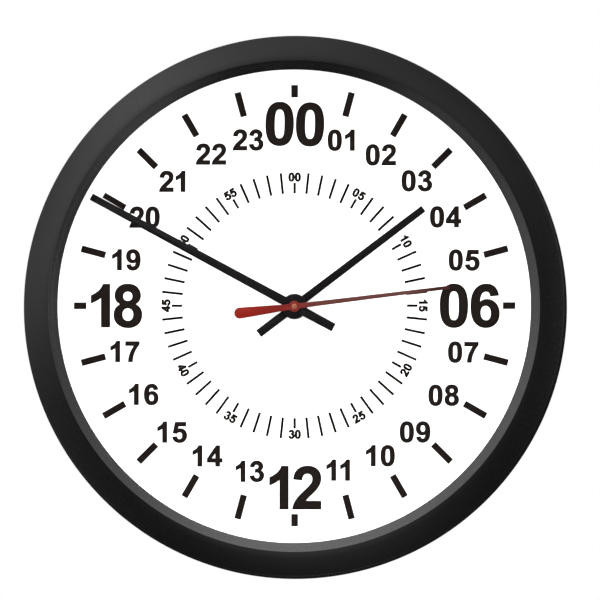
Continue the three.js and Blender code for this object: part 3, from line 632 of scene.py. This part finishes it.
# Outlines of bold upright figures on a grid where a flat-topped figure is 100 high. A closed outline is a list of
# points; a point written with three or four values (x, y, x2, y2) is a curve through control x, y to x2, y2.
FIGURES = {
    "0": [
        [(35.5, 101.5), (50.5, 101.5, 58.8, 91.0), (68.0, 79.0, 68.0, 50.0), (68.0, 21.0, 58.6, 9.0), (50.4, -1.5, 35.5, -1.5),
         (20.6, -1.5, 12.2, 9.2), (3.0, 21.0, 3.0, 50.0), (3.0, 79.0, 12.6, 91.2), (20.8, 101.5, 35.5, 101.5)],
        [(35.5, 85.5), (39.2, 85.5, 42.0, 83.2), (44.9, 80.8, 46.4, 75.0), (48.2, 68.0, 48.2, 50.0), (48.2, 32.0, 46.4, 25.0),
         (44.9, 19.2, 42.0, 16.8), (39.2, 14.5, 35.5, 14.5), (31.8, 14.5, 29.0, 16.8), (26.1, 19.2, 24.6, 25.0),
         (22.8, 32.0, 22.8, 50.0), (22.8, 68.0, 24.6, 75.0), (26.1, 80.8, 29.0, 83.2), (31.8, 85.5, 35.5, 85.5)],
    ],
    "1": [
        [(52.5, 0.0), (33.3, 0.0), (33.3, 71.5), (23.0, 62.2, 9.2, 57.5), (9.2, 74.6), (17.0, 77.4, 25.6, 84.4), (34.2, 91.4, 37.2, 101.0), (52.5, 101.0)],
    ],
    "2": [
        [(68.6, 17.8), (68.6, 0.0), (2.2, 0.0), (3.4, 10.2, 8.8, 19.2), (14.2, 28.2, 30.2, 43.0), (43.0, 55.0, 46.0, 59.4),
         (49.6, 65.0, 49.6, 70.8), (49.6, 77.4, 46.2, 81.0), (42.8, 84.6, 36.8, 84.6), (30.8, 84.6, 27.4, 80.8), (24.0, 77.0, 23.4, 69.0),
         (4.4, 71.0), (6.0, 86.6, 15.0, 94.0), (24.0, 101.4, 37.4, 101.4), (52.0, 101.4, 60.3, 93.4), (68.6, 85.4, 68.6, 73.2),
         (68.6, 66.4, 66.2, 60.2), (63.8, 54.0, 58.6, 47.4), (55.2, 43.0, 46.2, 34.6), (37.2, 26.2, 34.8, 23.4), (32.4, 20.6, 30.8, 17.8)],
    ],
    "3": [
        [(3.8, 26.4), (22.3, 28.6), (23.3, 21.4, 27.2, 17.6), (31.1, 13.8, 36.6, 13.8), (42.6, 13.8, 46.7, 18.3), (50.8, 22.8, 50.8, 30.4),
         (50.8, 37.8, 46.9, 42.0), (43.0, 46.2, 37.2, 46.2), (33.4, 46.2, 28.3, 44.8), (30.4, 60.5), (38.2, 60.3, 42.3, 63.9),
         (46.4, 67.5, 46.4, 73.4), (46.4, 78.4, 43.4, 81.4), (40.4, 84.4, 35.4, 84.4), (30.5, 84.4, 27.1, 81.0), (23.7, 77.6, 22.9, 71.0),
         (5.2, 74.0), (7.0, 83.2, 10.8, 88.6), (14.6, 94.0, 21.2, 97.7), (27.8, 101.4, 36.2, 101.4), (50.2, 101.4, 58.8, 92.2),
         (65.8, 84.6, 65.8, 75.0), (65.8, 61.8, 51.6, 53.8), (60.0, 52.0, 65.1, 45.5), (70.2, 39.0, 70.2, 30.0), (70.2, 16.8, 60.7, 7.6),
         (51.2, -1.6, 36.8, -1.6), (23.4, -1.6, 14.5, 6.2), (5.6, 14.0, 3.8, 26.4)],
    ],
    "4": [
        [(42.4, 0.0), (42.4, 19.8), (2.0, 19.8), (2.0, 36.6), (44.8, 100.6), (61.0, 100.6), (61.0, 36.7), (73.2, 36.7), (73.2, 19.8), (61.0, 19.8), (61.0, 0.0)],
        [(42.4, 36.7), (42.4, 71.0), (19.6, 36.7)],
    ],
    "5": [
        [(4.6, 25.4), (23.6, 27.4), (24.5, 20.9, 28.5, 17.1), (32.5, 13.3, 37.7, 13.3), (43.7, 13.3, 47.8, 18.2), (51.9, 23.1, 51.9, 32.8),
         (51.9, 42.0, 47.8, 46.6), (43.7, 51.2, 37.2, 51.2), (29.0, 51.2, 22.5, 44.0), (7.0, 46.2), (16.8, 98.6), (67.4, 98.6), (67.4, 80.6),
         (31.3, 80.6), (28.3, 63.6), (34.7, 66.8, 41.4, 66.8), (54.2, 66.8, 63.0, 57.5), (71.8, 48.2, 71.8, 33.4), (71.8, 21.0, 64.7, 11.4),
         (55.0, -1.6, 37.7, -1.6), (23.8, -1.6, 15.1, 5.8), (6.4, 13.2, 4.6, 25.4)],
    ],
    "6": [
        [(69.2, 75.4), (50.7, 73.4), (50.0, 79.1, 47.2, 81.8), (44.4, 84.5, 39.8, 84.5), (33.7, 84.5, 29.5, 79.1), (25.3, 73.7, 24.2, 56.4),
         (31.4, 64.8, 42.0, 64.8), (54.0, 64.8, 62.5, 55.7), (71.0, 46.6, 71.0, 32.1), (71.0, 16.8, 62.1, 7.6), (53.2, -1.6, 39.0, -1.6),
         (23.9, -1.6, 14.1, 10.2), (4.3, 22.0, 4.3, 48.7), (4.3, 76.2, 14.5, 88.8), (24.7, 101.4, 40.9, 101.4), (52.3, 101.4, 59.7, 94.7), (67.1, 88.0, 69.2, 75.4)],
        [(25.8, 33.8), (25.8, 24.4, 30.1, 19.3), (34.4, 14.2, 39.9, 14.2), (45.2, 14.2, 48.8, 18.4), (52.4, 22.6, 52.4, 32.1),
         (52.4, 41.8, 48.5, 46.4), (44.6, 51.0, 39.0, 51.0), (33.4, 51.0, 29.6, 46.6), (25.8, 42.2, 25.8, 33.8)],
    ],
    "7": [
        [(4.2, 80.6), (4.2, 98.6), (69.6, 98.6), (69.6, 84.6), (61.6, 76.6, 53.3, 61.7), (45.0, 46.8, 40.6, 30.0), (36.2, 13.2, 36.2, 0.0),
         (17.8, 0.0), (18.2, 20.6, 26.2, 42.1), (34.2, 63.6, 47.6, 80.6)],
    ],
    "8": [
        [(20.5, 53.9), (13.1, 57.0, 9.7, 62.5), (6.3, 68.0, 6.3, 74.5), (6.3, 85.8, 14.1, 93.6), (21.9, 101.4, 36.4, 101.4), (50.8, 101.4, 58.6, 93.6),
         (66.4, 85.8, 66.4, 74.5), (66.4, 67.6, 62.8, 62.2), (59.2, 56.8, 52.6, 53.9), (60.9, 50.6, 65.2, 44.1), (69.5, 37.6, 69.5, 29.2),
         (69.5, 15.4, 60.7, 6.9), (51.9, -1.6, 37.3, -1.6), (23.6, -1.6, 14.5, 5.4), (3.8, 13.8, 3.8, 28.4), (3.8, 36.6, 7.8, 43.4), (11.8, 50.2, 20.5, 53.9)],
        [(24.4, 72.9), (24.4, 67.2, 27.7, 64.0), (31.0, 60.8, 36.4, 60.8), (41.8, 60.8, 45.1, 64.0), (48.4, 67.2, 48.4, 73.0),
         (48.4, 78.4, 45.1, 81.6), (41.8, 84.8, 36.5, 84.8), (31.0, 84.8, 27.7, 81.6), (24.4, 78.4, 24.4, 72.9)],
        [(22.6, 30.0), (22.6, 22.1, 26.7, 17.7), (30.8, 13.3, 36.8, 13.3), (42.7, 13.3, 46.6, 17.5), (50.5, 21.7, 50.5, 29.8),
         (50.5, 36.9, 46.6, 41.1), (42.7, 45.3, 36.6, 45.3), (29.6, 45.3, 26.1, 40.5), (22.6, 35.7, 22.6, 30.0)],
    ],
}
FIGURES["9"] = [[tuple(v for i in range(0, len(p), 2) for v in (74.6 - p[i], 99.8 - p[i + 1])) for p in loop] for loop in FIGURES["6"]]
ADVANCE = 77.7


def trace(outline, steps):
    pts = [outline[0]]
    for p in outline[1:]:
        if len(p) == 2:
            pts.append(p)
            continue
        (x0, y0), (cx, cy, x1, y1) = pts[-1], p
        for k in range(1, steps + 1):
            t = k / steps
            pts.append(((1 - t) ** 2 * x0 + 2 * t * (1 - t) * cx + t * t * x1, (1 - t) ** 2 * y0 + 2 * t * (1 - t) * cy + t * t * y1))
    if math.dist(pts[0], pts[-1]) < 1e-6:
        pts.pop()
    return pts


def figures(text, height, steps, tracking=0.0, stretch=1.0):
    """Each figure's loops in mm, the pair centred on its own outline; height is that of a flat-topped figure."""
    k = height / 100.0
    shapes = []
    for i, ch in enumerate(text):
        shapes.append([[(x * k * stretch + i * (ADVANCE + tracking) * k * stretch, y * k) for x, y in trace(loop, steps)] for loop in FIGURES[ch]])
    xs = [x for s in shapes for loop in s for x, _ in loop]
    ys = [y for s in shapes for loop in s for _, y in loop]
    mx, my = (min(xs) + max(xs)) / 2, (min(ys) + max(ys)) / 2
    return [[[(x - mx, y - my) for x, y in loop] for loop in s] for s in shapes]


def place(loops, x, z, turn_deg=0.0):
    """Turned clockwise as seen from the front, then moved."""
    a = math.radians(turn_deg)
    return [[(x + u * math.cos(a) + v * math.sin(a), z - u * math.sin(a) + v * math.cos(a)) for u, v in loop] for loop in loops]


INK_LEVELS = [(DIAL_F, 0.0), (DIAL_F + INK, 0.0)]


def bar(r0, r1, width, deg):
    return place([[(-width / 2, r0), (width / 2, r0), (width / 2, r1), (-width / 2, r1)]], PRINT_X, PRINT_Z, deg)


hours = Build()
for h, (x, z) in HOUR_PLACES.items():
    large = h % 6 == 0
    spacing, turn = PAIRS.get(h, (0.0, 0.0))
    for s in figures(f"{h:02d}", LARGE_H if large else SMALL_H, 8 if large else 6, spacing, 1.0 if large else 1.02):
        hours.add(*plate(swell(place(s, PRINT_X + x, PRINT_Z + z, turn), 0.405 if large else 0.375), INK_LEVELS))
piece(hours.object("print_hour_numbers"), "case", "hand_black", M_INK)

ticks = Build()
for h in range(24):
    trim, turn = TICK_TRIM.get(h, (0.0, 0.0))
    ticks.add(*plate(bar(TICK_SHORT_R0 if h % 6 == 0 else TICK_R0, TICK_R1, TICK_W - trim, 15 * h + turn), INK_LEVELS))
piece(ticks.object("print_hour_ticks"), "case", "hand_black", M_INK)

track = Build()
for m in range(60):
    track.add(*plate(bar(MINUTE_R0, MINUTE_SHORT_R1 if m % 5 == 0 else MINUTE_R1, MINUTE_W, 6 * m), INK_LEVELS))
piece(track.object("print_minute_track"), "case", "hand_black", M_INK)

minutes = Build()
for m in range(0, 60, 5):
    a = math.radians(6 * m)
    x, z = MINUTE_NUMBER_R * math.sin(a), MINUTE_NUMBER_R * math.cos(a)
    turn = 6 * m + (180 if 20 <= m <= 40 else 0)
    for s in figures(f"{m:02d}", MINUTE_NUMBER_H, 4):
        minutes.add(*plate(swell(place(s, PRINT_X + x, PRINT_Z + z, turn), 0.36), INK_LEVELS))
piece(minutes.object("print_minute_numbers"), "case", "hand_black", M_INK)

# ------------------------------------------------------------------ hands


def hand_loop(edge, hub_r, deg, n=40):
    """Outline of a hand: edge is its right side from the tail's middle to the tip's middle, in (across, along)."""

    def meet(points, sign):
        # where the edge crosses the hub circle, going out from the axis
        for (v0, u0), (v1, u1) in zip(points, points[1:]):
            for k in range(200):
                t0, t1 = k / 200, (k + 1) / 200
                a = (v0 + (v1 - v0) * t0, u0 + (u1 - u0) * t0)
                b = (v0 + (v1 - v0) * t1, u0 + (u1 - u0) * t1)
                if (math.hypot(*a) - hub_r) * (math.hypot(*b) - hub_r) <= 0 and a[1] * sign > 0:
                    return b
        raise ValueError("the hand's edge never meets its hub")

    low, high = meet(edge, -1), meet(edge, 1)
    right = [p for p in edge if p[1] < 0 and math.hypot(*p) > hub_r + 1e-6]
    right.append(low)
    a0, a1 = math.atan2(low[1], low[0]), math.atan2(high[1], high[0])
    right += [(hub_r * math.cos(a0 + (a1 - a0) * k / n), hub_r * math.sin(a0 + (a1 - a0) * k / n)) for k in range(1, n)]
    right.append(high)
    right += [p for p in edge if p[1] > 0 and math.hypot(*p) > hub_r + 1e-6]
    loop = right + [(-v, u) for v, u in reversed(right) if abs(v) > 1e-6]
    return place([loop], 0.0, 0.0, deg)[0]


def corner(points, steps=4):
    """Open edge with rounded corners: (across, along, radius)."""
    closed = rounded(points + [(-50.0, points[-1][1]), (-50.0, points[0][1])], steps)
    return [p for p in closed if p[0] > -49.0]


hour_edge = corner([(0.0, -29.4), (2.76, -29.4, 0.25), (2.34, 105.9, 0.25), (0.0, 105.9)])
minute_edge = corner([(0.0, -29.2), (2.91, -29.2, 0.25), (2.96, 5.0), (2.31, 151.0, 0.25), (0.0, 151.0)])
second_edge = [(3.73 * math.sin(math.radians(t)), -35.85 - 3.8 * math.cos(math.radians(t))) for t in range(0, 91, 9)]
second_edge += corner([(1.95, -5.0), (1.66, 5.0), (1.16, 102.0, 0.4), (0.0, 102.0)], 5)

hour = Build().add(*plate([hand_loop(hour_edge, 7.6, HOUR_DEG), circle(2.4, 40)], [(27.5, 0.12), (27.62, 0.0), (28.12, 0.0), (28.24, 0.05), (28.3, 0.16)]))
piece(hour.object("hour_hand_plate", 50.0), "hour", "hand_black", M_HAND, "hour_hand")
minute = Build().add(*plate([hand_loop(minute_edge, 8.35, MIN_DEG), circle(1.6, 40)], [(29.6, 0.12), (29.72, 0.0), (30.22, 0.0), (30.34, 0.05), (30.4, 0.16)]))
piece(minute.object("minute_hand_plate", 50.0), "minute", "hand_black", M_HAND, "minute_hand")
second = Build().add(*plate([hand_loop(second_edge, 3.6, SEC_DEG), circle(1.05, 32)], [(31.6, 0.08), (31.68, 0.0), (32.02, 0.0), (32.14, 0.06), (32.2, 0.18)]))
piece(second.object("second_hand_plate", 50.0), "second", "hand_red", M_RED, "second_hand")
pin = Build().add(
    *lathe([(0.0, 32.5), (0.52, 32.5), (0.52, 31.0), (0.95, 31.0), (0.95, 32.26), (1.7, 32.26), (1.76, 32.34), (1.72, 32.5), (1.6, 32.66), (1.45, 32.8), (1.18, 32.95), (0.75, 33.06), (0.0, 33.1)], 48, closed=False)
)
piece(pin.object("second_hand_pin", 40.0), "second", "brass", M_PIN, "second_hand_pipe")

# ------------------------------------------------------------------ back


def pan_screw(name, x, z, head_f, tip_f, head_r, shank_r):
    """Pan-head screw with a cross recess, driven from behind."""
    h = 1.9
    prof = [(0.0, head_f - h)]
    for k in range(1, 8):
        a = math.radians(90 * k / 7)
        prof.append((head_r * (0.55 + 0.45 * math.sin(a)) if k > 1 else head_r * 0.5, head_f - h * (0.42 + 0.58 * math.cos(a)) if k < 7 else head_f - h * 0.42))
    prof += [(head_r, head_f - 0.12), (head_r - 0.12, head_f), (shank_r, head_f), (shank_r, tip_f - 1.2), (0.0, tip_f)]
    ob = Build().add(*lathe(prof, 40, (x, z), closed=False)).object(name, 35.0)
    w, t, reach = 0.52, 0.4, head_r * 0.62
    cross = [(-t, -reach), (t, -reach), (w, -w), (reach, -t), (reach, t), (w, w), (t, reach), (-t, reach), (-w, w), (-reach, t), (-reach, -t), (-w, -w)]
    tool = Build().add(*plate([[(x + u, z + v) for u, v in cross]], [(head_f - h - 0.5, -0.05), (head_f - 0.75, 0.18)])).object(name + "_cut")
    carve(ob, tool)
    finish_mesh(ob.data, 35.0)
    return ob


back_profile = rounded(
    [
        (4.8, PLATE_F1), (PLATE_R, PLATE_F1, 0.3), (PLATE_R, PLATE_F0, 0.4), (118.5, PLATE_F0, 0.5), (118.15, 16.0, 0.35), (116.65, 16.0, 0.35),
        (116.3, PLATE_F0, 0.5), (61.3, PLATE_F0, 0.5), (60.95, 16.0, 0.35), (59.45, 16.0, 0.35), (59.1, PLATE_F0, 0.5), (4.8, PLATE_F0),
    ],
    4,
)
back = Build().add(*lathe(back_profile, 216))
for k in range(12):
    back.add(*box_mesh(-0.8, 0.8, 16.4, 20.6, 60.2, 117.4 if k in (0, 11) else 152.0, 15 + 30 * k, 0.3))
piece(back.object("backplate_moulding", 32.0), "case", "back_black", M_BACK, "backplate")

for k in range(6):
    a = math.radians(30 + 60 * k)
    ob = pan_screw(f"plate_screw_{k + 1}", SCREW_R * math.sin(a), SCREW_R * math.cos(a), PLATE_F0 - 0.05, 31.0, 3.4, 1.4)
    piece(ob, "case", "screw_steel", M_STEEL, f"backplate_screw_{k + 1}")
for side, x in (("left", -23.1), ("right", 23.1)):
    ob = pan_screw(f"bracket_screw_{side}", x, 137.0, 18.65, 22.1, 3.0, 1.3)
    piece(ob, "case", "screw_steel", M_STEEL, f"hanger_screw_{side}")


def hanger():
    """Hat-section bracket bent from sheet, with eased edges and a keyhole."""
    t, f0, f1 = 1.2, 2.7, 19.9
    half, foot = 16.0, 29.0
    line = rounded(
        [
            (-foot, f1, 0.1), (-foot, f1 - t, 0.1), (-half, f1 - t, 0.9), (-half, f0, 2.0), (half, f0, 2.0), (half, f1 - t, 0.9),
            (foot, f1 - t, 0.1), (foot, f1, 0.1), (half - t, f1, 2.0), (half - t, f0 + t, 0.9), (-half + t, f0 + t, 0.9), (-half + t, f1, 2.0),
        ],
        5,
    )
    n = len(line)
    verts, faces = [], []
    for z in (123.0, 151.0):
        verts += [at(x, f, z) for x, f in line]
    faces += [(k, (k + 1) % n, n + (k + 1) % n, n + k) for k in range(n)]
    tris = tessellate_polygon([[Vector((x, f, 0.0)) for x, f in line]])
    faces += [tuple(tri) for tri in tris] + [tuple(n + i for i in reversed(tri)) for tri in tris]
    ob = make("hanger_plate", verts, faces, 40.0)
    hole, slot_r = 5.0, 2.3
    zc, top = 130.5, 140.0
    a = math.asin(slot_r / hole)
    loop = [(hole * math.sin(t0), zc + hole * math.cos(t0)) for t0 in [a + (2 * math.pi - 2 * a) * k / 48 for k in range(49)]]
    loop += [(slot_r * math.cos(t0), top + slot_r * math.sin(t0)) for t0 in [math.pi - math.pi * k / 20 for k in range(21)]]
    tools = [Build().add(*plate([loop], [(1.0, 0.0), (6.0, 0.0)])).object("keyhole_cut")]
    for x in (-23.1, 23.1):
        tools.append(Build().add(*plate([circle(2.0, 28, x, 137.0)], [(17.0, 0.0), (21.0, 0.0)])).object("foot_cut"))
    carve(ob, *tools)
    finish_mesh(ob.data, 30.0)
    return ob


piece(hanger(), "case", "hanger_steel", M_SHEET, "hanger_bracket")

piece(eased_copy("movement_housing", "movement_case", 0.35), "case", "movement_black", M_MOVE, "movement_housing")
piece(eased_copy("movement_cover", "movement_back_cover", 0.3), "case", "movement_black", M_MOVE, "movement_cover")


def knob():
    """Knurled setting knob with a dished face, on its stem."""
    n = 24
    loop = []
    for i in range(n):
        for d, r in ((-0.085, 5.15), (-0.045, 5.5), (0.0, 5.6), (0.045, 5.5), (0.085, 5.15)):
            a = 2 * math.pi * i / n + d
            loop.append((KNOB[0] + r * math.cos(a), KNOB[1] + r * math.sin(a)))
    b = Build()
    b.add(*plate([loop], [(1.2, 0.3), (1.35, 0.08), (1.5, 0.0), (3.05, 0.0), (3.2, 0.15)]))
    b.add(*lathe([(0.0, 1.0), (3.4, 1.0), (3.7, 1.08), (3.8, 1.25), (3.8, 1.5), (0.0, 1.5)], 40, KNOB, closed=False))
    b.add(*lathe([(0.0, 3.0), (1.1, 3.0), (1.1, 17.1), (1.0, 17.2), (0.0, 17.2)], 24, KNOB, closed=False))
    return b.object("setting_knob", 35.0)


piece(knob(), "setting", "white_plastic", M_KNOB, "set_knob")


def cover_marks():
    """Raised plus and minus by the ends of the battery bay, and a two-headed arrow round the knob."""
    levels = [(COVER_F - 0.3, 0.08), (COVER_F - 0.22, 0.0), (COVER_F + 0.05, 0.0)]
    b = Build()
    x, z, h, w = 25.0, -8.7, 2.3, 0.38
    b.add(*plate([[(x - h, z - w), (x - w, z - w), (x - w, z - h), (x + w, z - h), (x + w, z - w), (x + h, z - w),
                   (x + h, z + w), (x + w, z + w), (x + w, z + h), (x - w, z + h), (x - w, z + w), (x - h, z + w)]], levels))
    x = -25.9
    b.add(*plate([[(x - 1.3, z - w), (x + 1.3, z - w), (x + 1.3, z + w), (x - 1.3, z + w)]], levels))
    r0, r1, a0, a1, n = 7.0, 7.75, 0.0, math.pi, 36
    tip, wide = 0.36, 1.0

    def on(r, a):
        return (KNOB[0] + r * math.cos(a), KNOB[1] + r * math.sin(a))

    arc = [on(r1, a0 + (a1 - a0) * k / n) for k in range(n + 1)]
    arc += [on(r1 + wide, a1), on((r0 + r1) / 2, a1 + tip), on(r0 - wide, a1)]
    arc += [on(r0, a1 - (a1 - a0) * k / n) for k in range(n + 1)]
    arc += [on(r0 - wide, a0), on((r0 + r1) / 2, a0 - tip), on(r1 + wide, a0)]
    b.add(*plate([arc], levels))
    return b.object("cover_marks", 35.0)


piece(cover_marks(), "case", "white_plastic", M_KNOB)

cell = Build().add(
    *lathe_x(
        [
            (0.0, -24.3), (4.4, -24.3), (4.6, -24.2), (4.7, -24.05), (6.3, -24.0), (6.9, -23.85), (7.15, -23.5), (7.2, -23.1),
            (7.2, 23.6), (7.15, 24.05), (6.9, 24.45), (6.4, 24.7), (5.6, 24.78), (3.1, 24.8), (2.75, 24.95), (2.7, 25.8), (2.55, 26.1), (2.3, 26.2), (0.0, 26.2),
        ],
        64, 9.9, -19.9,
    )
)
piece(cell.object("battery_cell", 40.0), "cell", "battery", M_CELL, "battery")

# ------------------------------------------------------------------ the rest of the movement keeps its solids

for names, mat in (
    (("train_plate", "coil_bobbin", "rotor_pinion", "intermediate_wheel", "second_wheel", "third_wheel", "centre_wheel", "motion_wheel", "hour_wheel", "set_pinion"), M_TRAIN),
    (("shaft_bushing", "brass_washer", "hex_nut", "cannon_pinion"), M_BRASS),
    (("stator", "coil_core", "quartz_crystal", "positive_contact", "negative_contact", "second_arbor"), M_STEEL),
    (("rubber_washer",), M_RUBBER),
    (("coil_winding",), M_COPPER),
    (("rotor_magnet",), M_MAGNET),
    (("circuit_board",), M_BOARD),
    (("timing_chip",), M_CHIP),
):
    for node in names:
        dress(node, mat)

# ------------------------------------------------------------------ floor, light, camera


def floor():
    m, nt, s = material("floor_pale")
    tone = noise(nt, 3.0, 3.0)
    nt.links.new(ramp(nt, tone, (0.3, (0.80, 0.80, 0.80)), (0.7, (0.84, 0.84, 0.84))), s.inputs["Base Color"])
    s.inputs["Roughness"].default_value = 0.8
    z = -0.42
    ob = make("floor", [(-6, -6, z), (6, -6, z), (6, 6, z), (-6, 6, z)], [(0, 1, 2, 3)])
    ob.data.materials.append(m)
    ob.visible_glossy = False
    ob.visible_diffuse = False
    ob.visible_shadow = False


floor()

# Soft light as broad lobes of a studio room: (towards, breadth exponent, strength)
LOBES = [
    ((0.325, -0.940, -0.106), 60.0, 0.97),
    ((0.0, -0.940, -0.342), 60.0, 3.74),
    ((0.217, -0.866, 0.450), 60.0, 2.19),
    ((0.391, -0.866, 0.312), 60.0, 1.32),
    ((0.217, -0.866, -0.450), 60.0, 0.58),
    ((-0.487, -0.866, 0.111), 60.0, 3.95),
    ((-0.391, -0.866, 0.312), 60.0, 3.05),
    ((-0.217, -0.866, 0.450), 60.0, 2.94),
    ((0.0, -0.766, 0.643), 60.0, 3.35),
    ((-0.378, -0.766, 0.520), 60.0, 5.91),
    ((-0.766, -0.643, 0.0), 60.0, 3.51),
    ((0.824, -0.500, 0.268), 60.0, 4.86),
    ((0.866, -0.500, 0.000), 60.0, 19.77),
    ((0.824, -0.500, -0.268), 60.0, 7.55),
    ((0.0, -0.500, -0.866), 60.0, 4.48),
    ((-0.701, -0.500, -0.509), 60.0, 11.63),
    ((0.769, -0.309, -0.559), 30.0, 2.12),
    ((0.559, -0.309, -0.769), 30.0, 3.60),
    ((-0.559, -0.309, -0.769), 30.0, 2.81),
    ((-0.905, -0.309, -0.294), 30.0, 3.40),
    ((-0.905, -0.309, 0.294), 12.0, 5.99),
    ((-0.769, -0.309, 0.559), 30.0, 3.30),
    ((-0.559, -0.309, 0.769), 30.0, 3.69),
    ((0.0, -0.105, 0.995), 12.0, 3.97),
    ((0.307, -0.105, 0.946), 12.0, 6.90),
    ((0.805, -0.105, 0.585), 12.0, 4.45),
    ((-0.995, -0.105, 0.0), 12.0, 1.84),
    ((-0.307, -0.105, 0.946), 12.0, 7.44),
    ((-0.415, -0.866, -0.280), 60.0, 0.41),
    # behind the clock
    ((-0.68, 0.44, 0.59), 14.0, 9.0),
    ((0.86, 0.36, 0.36), 34.0, 13.4),
    ((0.10, 0.43, -0.90), 30.0, 7.2),
]
AMBIENT = 0.012


def world():
    w = bpy.data.worlds.new("studio")
    SCENE.world = w
    w.use_nodes = True
    nt = w.node_tree
    nt.nodes.clear()
    out = nt.nodes.new("ShaderNodeOutputWorld")
    coord = nt.nodes.new("ShaderNodeTexCoord")

    def math_node(op, a, b):
        n = nt.nodes.new("ShaderNodeMath")
        n.operation = op
        for i, v in enumerate((a, b)):
            if isinstance(v, (int, float)):
                n.inputs[i].default_value = v
            else:
                nt.links.new(v, n.inputs[i])
        return n.outputs["Value"]

    total = None
    for to, power, strength in LOBES:
        d = nt.nodes.new("ShaderNodeVectorMath")
        d.operation = "DOT_PRODUCT"
        nt.links.new(coord.outputs["Generated"], d.inputs[0])
        d.inputs[1].default_value = Vector(to).normalized()
        part = math_node("MULTIPLY", math_node("POWER", math_node("MAXIMUM", d.outputs["Value"], 0.0), power), strength)
        total = part if total is None else math_node("ADD", total, part)
    total = math_node("ADD", total, AMBIENT)
    room = nt.nodes.new("ShaderNodeBackground")
    room.inputs["Color"].default_value = (1.0, 1.0, 1.0, 1.0)
    nt.links.new(total, room.inputs["Strength"])
    white = nt.nodes.new("ShaderNodeBackground")
    white.inputs["Color"].default_value = (1.0, 1.0, 1.0, 1.0)
    white.inputs["Strength"].default_value = 1.0
    path = nt.nodes.new("ShaderNodeLightPath")
    mix = nt.nodes.new("ShaderNodeMixShader")
    nt.links.new(path.outputs["Is Camera Ray"], mix.inputs["Fac"])
    nt.links.new(room.outputs["Background"], mix.inputs[1])
    nt.links.new(white.outputs["Background"], mix.inputs[2])
    nt.links.new(mix.outputs["Shader"], out.inputs["Surface"])


world()
SCENE.view_settings.view_transform = "Standard"
SCENE.view_settings.look = "None"
SCENE.view_settings.exposure = 0.0
SCENE.view_settings.gamma = 1.0

CAM_DISTANCE, CAM_AZ, CAM_EL = 10.0, 1.15, -1.15
MM_PER_PIXEL = 0.6552  # at the rim, in a picture 600 wide
RIM_AT = (295.32, 307.33)  # where the middle of the rim falls in that picture


def camera():
    a, e = math.radians(CAM_AZ), math.radians(CAM_EL)
    back = Vector((math.sin(a) * math.cos(e), -math.cos(a) * math.cos(e), math.sin(e)))
    turn = (-back).to_track_quat("-Z", "Y")
    right, up = turn @ Vector((1, 0, 0)), turn @ Vector((0, 1, 0))
    rim = at(0.0, 0.6, 0.0)
    aim = rim + right * ((300 - RIM_AT[0]) * MM_PER_PIXEL * MM) + up * ((RIM_AT[1] - 300) * MM_PER_PIXEL * MM)
    data = bpy.data.cameras.new("camera")
    data.sensor_width = 36.0
    data.lens = 36.0 / 2 / (300 * MM_PER_PIXEL * MM / CAM_DISTANCE)
    data.clip_start, data.clip_end = 0.1, 60.0
    cam = bpy.data.objects.new("camera", data)
    cam.rotation_mode = "QUATERNION"
    cam.rotation_quaternion = turn
    cam.location = aim + back * CAM_DISTANCE
    SCENE.collection.objects.link(cam)
    SCENE.camera = cam


camera()

bpy.context.view_layer.update()
